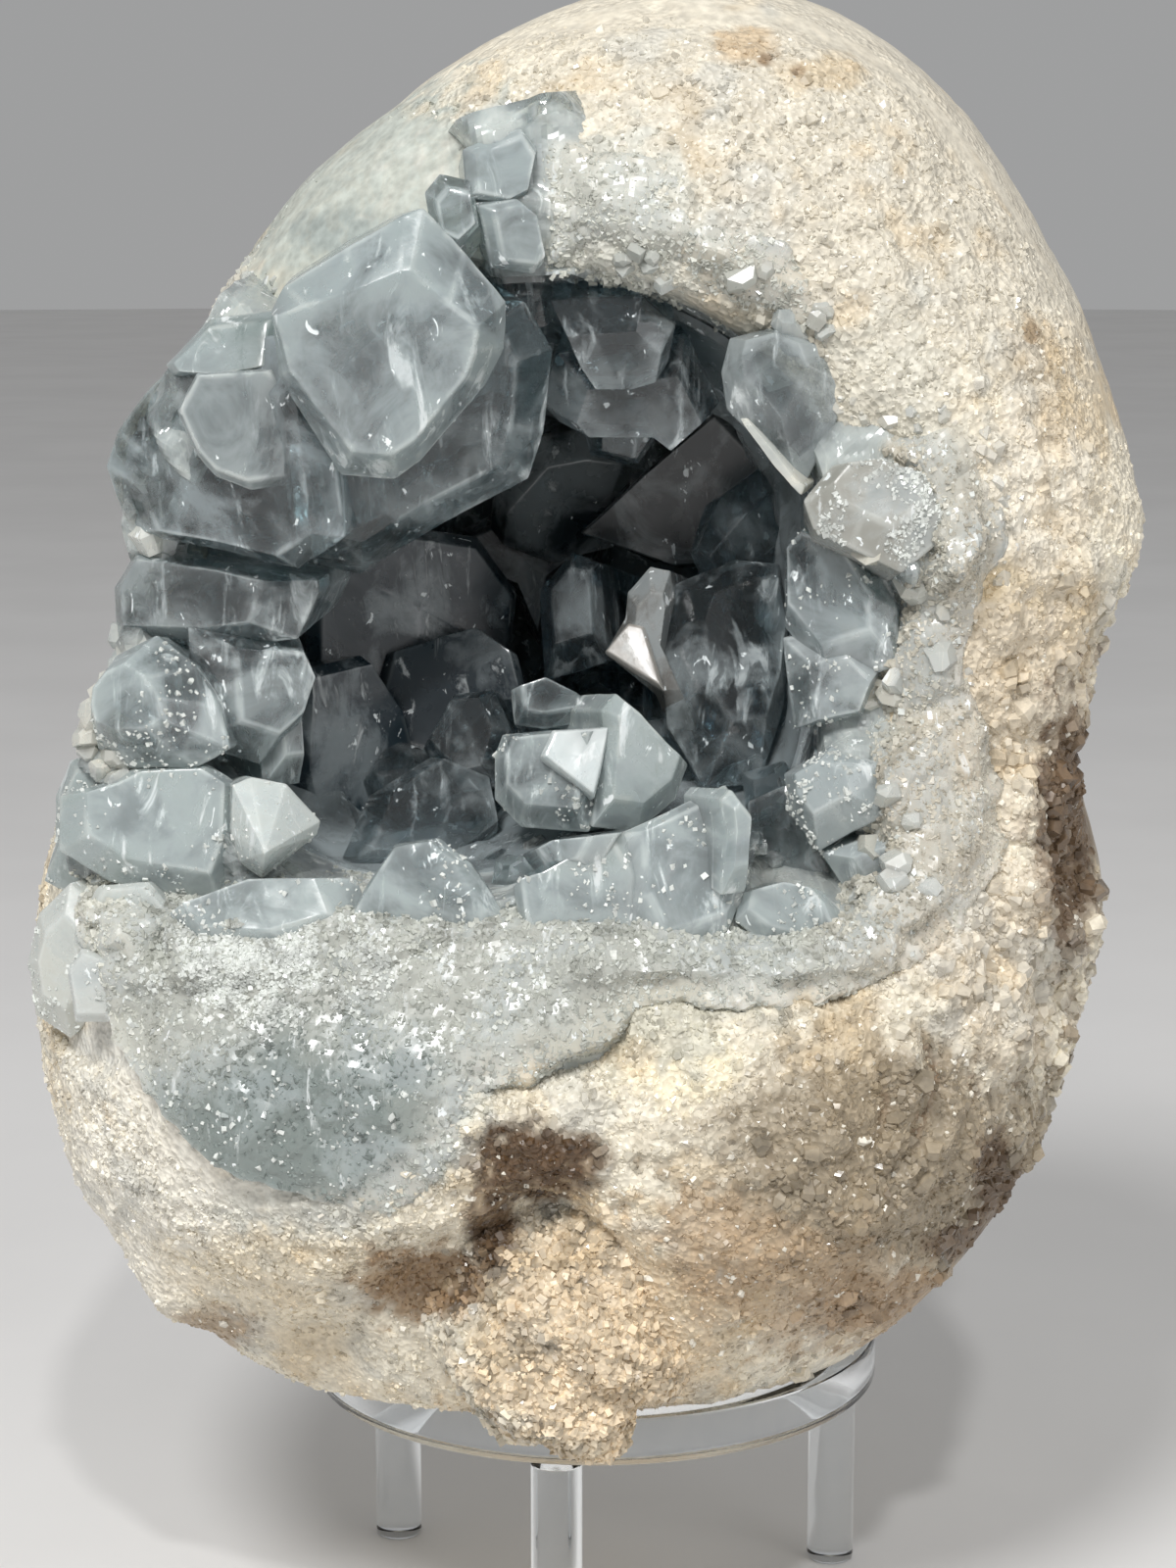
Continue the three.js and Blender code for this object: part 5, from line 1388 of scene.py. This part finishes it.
def crystal_mass():
    """The grown-together crystal between the rim's tablets, and its run down over the stone.

    It is the broken face at the depth that mass_depth() gives, faceted by three sizes of cube
    grains, which are finest in the milky field. It gives its places and their outward directions.
    """
    turn, _, crest = crest_at(MASS_COLUMNS)
    face = row_steps(0.02, 1, MASS_FACE_ROWS)
    wall = row_steps(0, MASS_REACH, MASS_WALL_ROWS)[1:]
    plain = np.concatenate([
        weathered(front_point(turn, face, crest), MASS_SWELL),
        wall_point(turn, wall, 1.0),
    ])
    uv = seen_at(plain)
    behind_lip = np.concatenate([face * 0, wall / MASS_REACH])
    y, near, field, seam = mass_depth(plain, uv, behind_lip)
    grid = plain.copy()
    grid[..., 1] = y
    big, _ = grains(grid, 8.5, 72)
    small, owner = grains(grid, 3.6, 73)
    fine, _ = grains(grid, 1.5, 75)
    way = outward_ray(grid) * 0.4 + np.array([0, -0.6, 0])
    lift = (0.5 * big + 0.4 * small) * (0.25 + 0.75 * near) * (1 - ground_flat(plain))
    rough = smooth(0, 30, uv[..., 0])
    sugar = (0.14 + 0.14 * rough) * big + (0.24 + 0.12 * rough) * small + 0.45 * fine
    lift = lift * (1 - field) + field * sugar
    grid = grid + way * lift[..., None]
    grid[..., 2] = np.maximum(grid[..., 2], FLAT_BOTTOM + 1)
    under = grid[::-MASS_UNDER]
    under = under + np.array([0, 3.5, 0]) - outward_ray(under) * 1.0
    milk = 0.5 + 0.3 * smooth(-10, -35, uv[..., 1]) + 0.25 * (owner - 0.5) * (1 - field)
    milk = milk + field * (0.9 - milk)
    plain_tint = colour(168, 172, 165) * (0.85 + 0.3 * owner[..., None])
    tint = blend(plain_tint, mass_colour(plain)[0], field)
    tint = blend(tint, stone_colour(grid), seam)
    skin_piece("crystal_mass", np.concatenate([grid, under]), there_and_back(tint, MASS_UNDER),
               there_and_back(milk, MASS_UNDER), CRYSTAL, "crystal_crust", sharp=10,
               ring=True)
    return grid, unit(way)


# ---- the crystals ------------------------------------------------------------------------------

# Small crystals crowd in these places: [right, up], half its [width, height], count, [least,
# greatest size], milk.
CROWDS = [
    ((26, 46), (9, 6), 14, (3, 6), 0.7),
    ((38, 24), (7, 6), 7, (2.5, 5), 0.98),
    ((40, 8), (7, 12), 9, (2.5, 5.5), 0.95),
    ((38, -14), (9, 8), 9, (2.5, 5.5), 0.95),
    ((-14, -17), (17, 3), 16, (3, 6), 0.3),
    ((8, -10), (10, 3), 8, (3, 6), 0.3),
    ((24, -13), (6, 7), 14, (2.5, 5), 0.35),
    ((-60, -2), (5, 10), 20, (2.5, 5), 0.7),
    ((-56, 14), (7, 8), 20, (3, 5.5), 0.5),
    ((-58, 34), (6, 10), 14, (2.5, 5), 0.5),
    ((14, 60), (12, 5), 8, (2.5, 5), 0.95),
    ((31, 50), (6, 6), 10, (2.5, 5), 0.95),
]


def crowds(mass, way):
    """Small six-sided crystals that stand on the mass, leaning out of it at chance angles."""
    rng = np.random.default_rng(81)
    uv = seen_at(mass)
    heap = Heap()
    for middle, reach, count, (least, most), milk in CROWDS:
        found = (ellipse(uv, middle, reach) < 1) & (ground_flat(mass) < 0.4)
        row, column = np.argwhere(found).T
        pick = rng.integers(0, len(row), count)
        out, root = way[row[pick], column[pick]], mass[row[pick], column[pick]]
        size = least + (most - least) * rng.random(count) ** 2
        along = unit(out + 0.5 * rng.normal(size=(count, 3)))
        side = rng.normal(size=(count, 3))
        side = unit(side - along * np.sum(side * along, -1, keepdims=True))
        axes = np.stack([side, np.cross(along, side), along], -1)
        ring = HEXAGON * (1 + 0.35 * (rng.random((count, 6, 1)) - 0.5)) / 2
        ring = ring * np.stack([np.ones(count), 0.55 + 0.4 * rng.random(count)], -1)[:, None]
        top, lean = 0.3 + 0.5 * rng.random(count), 0.1 * rng.normal(size=(count, 1, 2))
        levels = []
        for wide, high, shift in ((0.8, -0.6, 0), (1, 0.0, 0), (top[:, None, None], 0.28, lean)):
            flat = ring * wide + shift
            levels.append(np.concatenate([flat, np.full((count, 6, 1), high)], -1))
        shape = np.stack(levels, 1) * size[:, None, None, None]
        tint = 0.5 * stone_colour(root) + 0.5 * colour(160, 168, 166)
        tint = tint * (0.85 + 0.3 * rng.random((count, 1)))
        stacked(heap, shape, axes, root, tint, milk + 0.3 * (rng.random(count) - 0.5))
    heap.piece("crystals_small", CRYSTAL)


BED_COLUMNS, BED_ROWS, BED_BACK_ROWS = 360, 100, 10
BED_ENDS = 0.985, 0.1  # from near the hollow's back to near its lip


def crystal_bed():
    """The crust between the crystals: a cup along the wall whose inside is heaped cube grains."""
    turn = clock(BED_COLUMNS)[None]
    inner = row_steps(*BED_ENDS, BED_ROWS)
    outer = row_steps(*BED_ENDS[::-1], BED_BACK_ROWS)
    plain = wall_point(turn, inner, 2.0)
    aim = unit(np.array([AXIS[0], -10, AXIS[2]]) - plain)
    big, _ = grains(plain, 13.0, 21)
    small, owner = grains(plain, 6.0, 22)
    fade = smooth(0.1, 0.2, inner)
    inside = plain + aim * (fade * np.maximum(0.6 * big + 0.35 * small, 0.2))[..., None]
    grid = np.concatenate([inside, wall_point(turn, outer, 0.9)])
    # the crust's dark blue-grey, varied from grain to grain, is painted shade of the hollow
    tint = np.broadcast_to(colour(74, 86, 90), grid.shape).copy()
    tint[:len(inside)] *= (0.8 + 0.4 * owner)[..., None]
    skin_piece("crystal_bed", grid, tint, 0.5, SHADED_CRYSTAL, "crystal_crust", sharp=12)


def rim_crystals():
    """The great blades, then the blocks round the hollow and the cluster on its floor.

    It gives each tablet of the second piece that carries tiny crystals, with how many.
    """
    heap = Heap()
    for row in GREAT:
        tablet(heap, row, step=0.8, tint=(124, 136, 134), worn_and_highlight=0.4)
    heap.piece("crystals_great", CRYSTAL, ["crystal_crust"], sharp=10)
    heap = Heap()
    made = []
    for group, tint in ((SIDE + FLOOR_EDGE + CLUSTER, (148, 158, 155)), (RIGHT, (142, 150, 149))):
        made += [(tablet(heap, row, step=1.15, tint=tint, worn_and_highlight=0.32), row.get("frost", 0))
                 for row in group]
    heap.piece("crystals_rim", CRYSTAL, ["crystal_crust"], sharp=10)
    return [(shown, count) for shown, count in made if count]


def inner_crystals():
    """The clearer tablets and prisms inside the hollow, darkened as painted shade."""
    heap = Heap()
    for row in INNER:
        # their dark blue-grey tints are painted shade of the hollow
        tablet(heap, row, step=1.5, tint=(86, 104, 110), worn_and_highlight=0.08)
    wall_prisms(heap, colour(76, 94, 100), haze=0.06)
    heap.piece("crystals_inner", SHADED_CRYSTAL, ["crystal_crust"], sharp=10)


# ---- the stand ---------------------------------------------------------------------------------

def turned(name, profile, columns, at, ring=False):
    """A piece from a profile of [radius, height] turned round an upright axis."""
    angle = clock(columns)[None] * 2 * np.pi
    radius, height = (np.array(profile, float)[:, k, None] for k in (0, 1))
    grid = np.stack(np.broadcast_arrays(radius * np.cos(angle), radius * np.sin(angle), height), -1)
    skin_piece(name + "_clear", grid + np.array(at, float), np.ones(grid.shape), 0.0, ACRYLIC,
               name, sharp=25, ring=ring)


def eased(corners, radius, count=4):
    """A profile with every corner rounded by a quadratic curve; the path is closed."""
    corners = np.array(corners, float)
    length = np.linalg.norm(np.roll(corners, -1, axis=0) - corners, axis=1)
    rows, own = [], np.eye(len(corners))
    for k in range(len(corners)):
        back, on = radius / length[k - 1], radius / length[k]
        start = (1 - back) * own[k] + back * own[k - 1]
        end = (1 - on) * own[k] + on * own[(k + 1) % len(corners)]
        for t in np.linspace(0, 1, count):
            rows.append((1 - t) ** 2 * start + 2 * t * (1 - t) * own[k] + t * t * end)
    return np.array(rows) @ corners


# A leg's profile from the middle of its foot up: [radius, height].
LEG_PROFILE = [
    (0.6, 0), (2.6, 0), (2.9, 0.15), (3.1, 0.4), (LEG_RADIUS, 0.8), (LEG_RADIUS, LEG_LENGTH - 0.1),
    (3.1, LEG_LENGTH), (0.6, LEG_LENGTH),
]


def stand():
    """The clear ring, and three round legs that stand evenly under it."""
    low = RING_TOP - RING_HEIGHT
    corners = [(RING_INNER, low), (RING_OUTER, low), (RING_OUTER, RING_TOP), (RING_INNER, RING_TOP)]
    turned("stand_ring", eased(corners, radius=0.5), columns=180, at=(RING_X, RING_Y, 0), ring=True)
    foot = low - LEG_GAP - LEG_LENGTH
    profile = [(radius, foot + high) for radius, high in LEG_PROFILE]
    for k in range(3):
        angle = math.radians(FIRST_LEG + 120 * k)
        at = (RING_X + LEG_CIRCLE * math.cos(angle), RING_Y + LEG_CIRCLE * math.sin(angle), 0)
        turned(f"stand_leg_{k + 1}", profile, columns=48, at=at)


# ---- loose grains on the stone and the crystal -------------------------------------------------

# The stone's sugar: name, count, seed, least and greatest size, corners, how deep it is sunk.
SUGAR = [
    ("sugar_first", 13000, 61, 0.6, 1.1, 4, 0.26),
    ("sugar_second", 13000, 62, 0.6, 1.1, 4, 0.26),
    ("grains_middle", 5500, 63, 0.8, 1.5, 5, 0.22),
    ("grains_coarse", 1500, 67, 1.2, 2.3, 5, 0.2),
]


def grain_piece(name, material, p, w, size, seed, tint, value, sunk, corners=5):
    """Chips at the places as one piece, each sunk by a part of its size."""
    heap = Heap()
    chips(heap, p - w * (size * sunk)[:, None], size, seed, tint, value, corners)
    heap.piece(name, material)


def loose_grains(face, lump):
    """Sugar on the bare broken face, lumps in its layers, and grains on its seam and the lump.

    The last piece is clear chips on the stone beside the rim's crystals.
    """
    top = face[0]
    uv = seen_at(top)
    near, inward = near_crystals(uv), milky_field(top)
    row, turn = np.arange(len(top))[:, None], clock(top.shape[1])[None]
    open_face = (1 - ground_flat(top)) * smooth(4, 32, row + 8 * swell(top, 7, 55))
    bare = smooth(0.8, -0.8, near) * open_face * (top[..., 1] < 22)
    bare = bare * (1 - 0.97 * smooth(2, 7, inward))
    for name, count, seed, low, high, corners, sunk in SUGAR:
        rng = np.random.default_rng(seed)
        p, w = scatter(*face, bare, count, rng)
        size = low + (high - low) * rng.random(count) ** 1.8
        varied = 0.16 + 0.2 * smooth(-25, -50, seen_at(p)[:, 1])
        tint = stone_colour(p) * (1 + varied * (rng.random(count) - 0.45))[:, None]
        # one grain in twenty is pale, as a painted glint
        tint[rng.random(count) < 0.05] = colour(228, 222, 208)
        grain_piece(name, GRAIN, p, w, size, seed, tint, 0.8, sunk, corners)

    layers = smooth(0.2, 0.26, turn) * smooth(0.47, 0.4, turn) * (swell(top, 8, 56) > -0.2)
    layers = layers * smooth(8, 20, row) * smooth(66, 50, row)
    seam = smooth(4.5, 0.5, np.abs(inward + 1.5 * swell(top, 4, 78))) * open_face
    seam = seam * (uv[..., 1] < -20)
    hanging = (lump[0][..., 2] < -50) * 1.0
    for name, surface, weight, count, seed, (low, span, power), (dark, bright), sunk, corners in (
            ("edge_lumps", face, layers, 900, 69, (1.4, 2.2, 2.2), (0.8, 0.36), 0.1, 5),
            ("seam_grains", face, seam, 4200, 60, (0.5, 0.8, 2), (0.94, 0.14), 0.1, 4),
            ("grains_lump", lump, hanging, 7500, 64, (0.6, 1.2, 2.2), (0.72, 0.55), 0.05, 4)):
        rng = np.random.default_rng(seed)
        p, w = scatter(*surface, weight, count, rng)
        size = low + span * rng.random(count) ** power
        tint = stone_colour(p) * (dark + bright * rng.random(count))[:, None]
        grain_piece(name, GRAIN, p, w, size, seed, tint, 0.8, sunk, corners)

    beside = smooth(1.0, -0.5, near) * smooth(-11, -1, near) * open_face * (inward < -1)
    beside = beside * (uv[..., 1] > -28) * (uv[..., 1] < 64)
    rng = np.random.default_rng(65)
    p, w = scatter(*face, beside, 1000, rng)
    size = 0.9 + 2.6 * rng.random(len(p)) ** 2.4
    tint = stone_colour(p) * 0.75 + colour(176, 184, 182) * 0.25
    grain_piece("crystal_chips", CRYSTAL, p, w, size, 65, tint, 0.92, 0.2)


def frost(frosted, mass, rng):
    """Tiny bright crystals that have grown on the rim's tablets and on the milky field."""
    found = [scatter(grid, n, facing * smooth(0.1, 0.6, swell(grid, 4, 67) + 0.3), amount, rng)
             for (grid, n, facing), amount in frosted]
    top = mass[0]
    band = smooth(1.2, 0.3, ellipse(seen_at(top), *FROSTED_PATCH))
    weight = (milky_field(top) > 1) * (0.02 + band) * (swell(top, 3, 68) > -0.3)
    found.append(scatter(*mass, weight, 5000, rng))
    p, w = (np.concatenate(part) for part in zip(*found))
    size = 0.3 + 0.75 * rng.random(len(p)) ** 2
    tint = colour(214, 217, 212) + 0 * p
    grain_piece("frost", GRAIN, p, w, size, 66, tint, 0.5, 0.1, 4)


def milky_sugar(mass, rng):
    """The sugar on the milky field, thinner on its blue patch."""
    top = mass[0]
    weight = smooth(-1, 1, milky_field(top)) * (1 - 0.45 * mass_colour(top)[1])
    p, w = scatter(*mass, weight * (1 - ground_flat(top)), 16000, rng)
    size = 0.5 + 0.9 * rng.random(len(p)) ** 2
    tint = mass_colour(p)[0] * (0.95 + 0.2 * rng.random(len(p)))[:, None]
    grain_piece("milky_sugar", GRAIN, p, w, size, 57, tint, 0.5, 0.3, 4)


# ---- the room, the light and the camera --------------------------------------------------------

FLOOR_RADIUS, FLOOR_CORNERS = 4, 96  # the radius in metres
# Lamps: name, place and aim in metres, width, power.
LAMPS = [
    ("key", (-0.3, -0.8, 1.0), (0, 0, 0.13), 0.3, 10.5),
    ("fill", (0.8, -0.7, 0.45), (0, 0, 0.12), 0.8, 2.2),
    ("spark", (0.12, -1.2, 1.3), (0, 0, 0.13), 0.08, 7),
]
CAMERA_AT = (0.0, -424.1, 71.0)  # 0.1 mm behind EYE
SENSOR, FRAME_HEIGHT, FOCAL_LENGTH = 36.0, 1600, 3440  # the sensor in mm, the others in pixels


def floor():
    """A plain pale floor: one flat disc."""
    angle = clock(FLOOR_CORNERS) * 2 * np.pi
    mesh = bpy.data.meshes.new("floor")
    rim = np.stack([FLOOR_RADIUS * np.cos(angle), FLOOR_RADIUS * np.sin(angle), 0 * angle], -1)
    mesh.from_pydata(rim.tolist(), [], [list(range(FLOOR_CORNERS))])
    f = Finish("pale_floor")
    cloud = f.ramp(f.noise(9, 4), 0.3, 0.7)
    f.plug("Base Color", f.mix(cloud, (0.74, 0.73, 0.72), (0.78, 0.77, 0.76)))
    f.plug("Roughness", 0.6)
    mesh.materials.append(f.material)
    shown = bpy.data.objects.new("floor", mesh)
    bpy.context.scene.collection.objects.link(shown)


def lamp(name, place, aim, size, energy):
    """A round lamp at a place, turned to its aim."""
    light = bpy.data.lights.new(name, "AREA")
    light.shape, light.size, light.energy = "DISK", size, energy
    shown = bpy.data.objects.new(name, light)
    shown.location = place
    way = np.array(aim, float) - np.array(place, float)
    shown.rotation_euler = (math.atan2(math.hypot(way[0], way[1]), -way[2]), 0,
                            math.atan2(way[1], way[0]) - math.pi / 2)
    bpy.context.scene.collection.objects.link(shown)


def studio():
    """The grey room, whose light comes from all sides."""
    world = bpy.data.worlds.new("studio")
    world.use_nodes = True
    background = world.node_tree.nodes["Background"].inputs
    background["Color"].default_value = (0.82, 0.825, 0.83, 1)
    background["Strength"].default_value = 0.42
    bpy.context.scene.world = world
    bpy.context.scene.view_settings.view_transform = "Standard"


def camera():
    """The camera before the stone, looking down a little."""
    lens = bpy.data.cameras.new("camera")
    lens.sensor_width, lens.lens = SENSOR, FOCAL_LENGTH / FRAME_HEIGHT * SENSOR
    lens.clip_start, lens.clip_end = 0.01, 20
    shown = bpy.data.objects.new("camera", lens)
    shown.location = home(CAMERA_AT)
    shown.rotation_euler = (math.pi / 2 - VIEW_TURN, 0, 0)
    bpy.context.scene.collection.objects.link(shown)
    bpy.context.scene.camera = shown


# ---- the object, and then the room round it ----------------------------------------------------

stone_body()
face = grainy_face()
lump = hanging_lump()
loose_grains(face, lump)

mass = crystal_mass()
crowds(*mass)
frosted = rim_crystals()
rng = np.random.default_rng(66)
frost(frosted, mass, rng)
milky_sugar(mass, rng)
inner_crystals()
crystal_bed()
stand()

floor()
for row in LAMPS:
    lamp(*row)
studio()
camera()
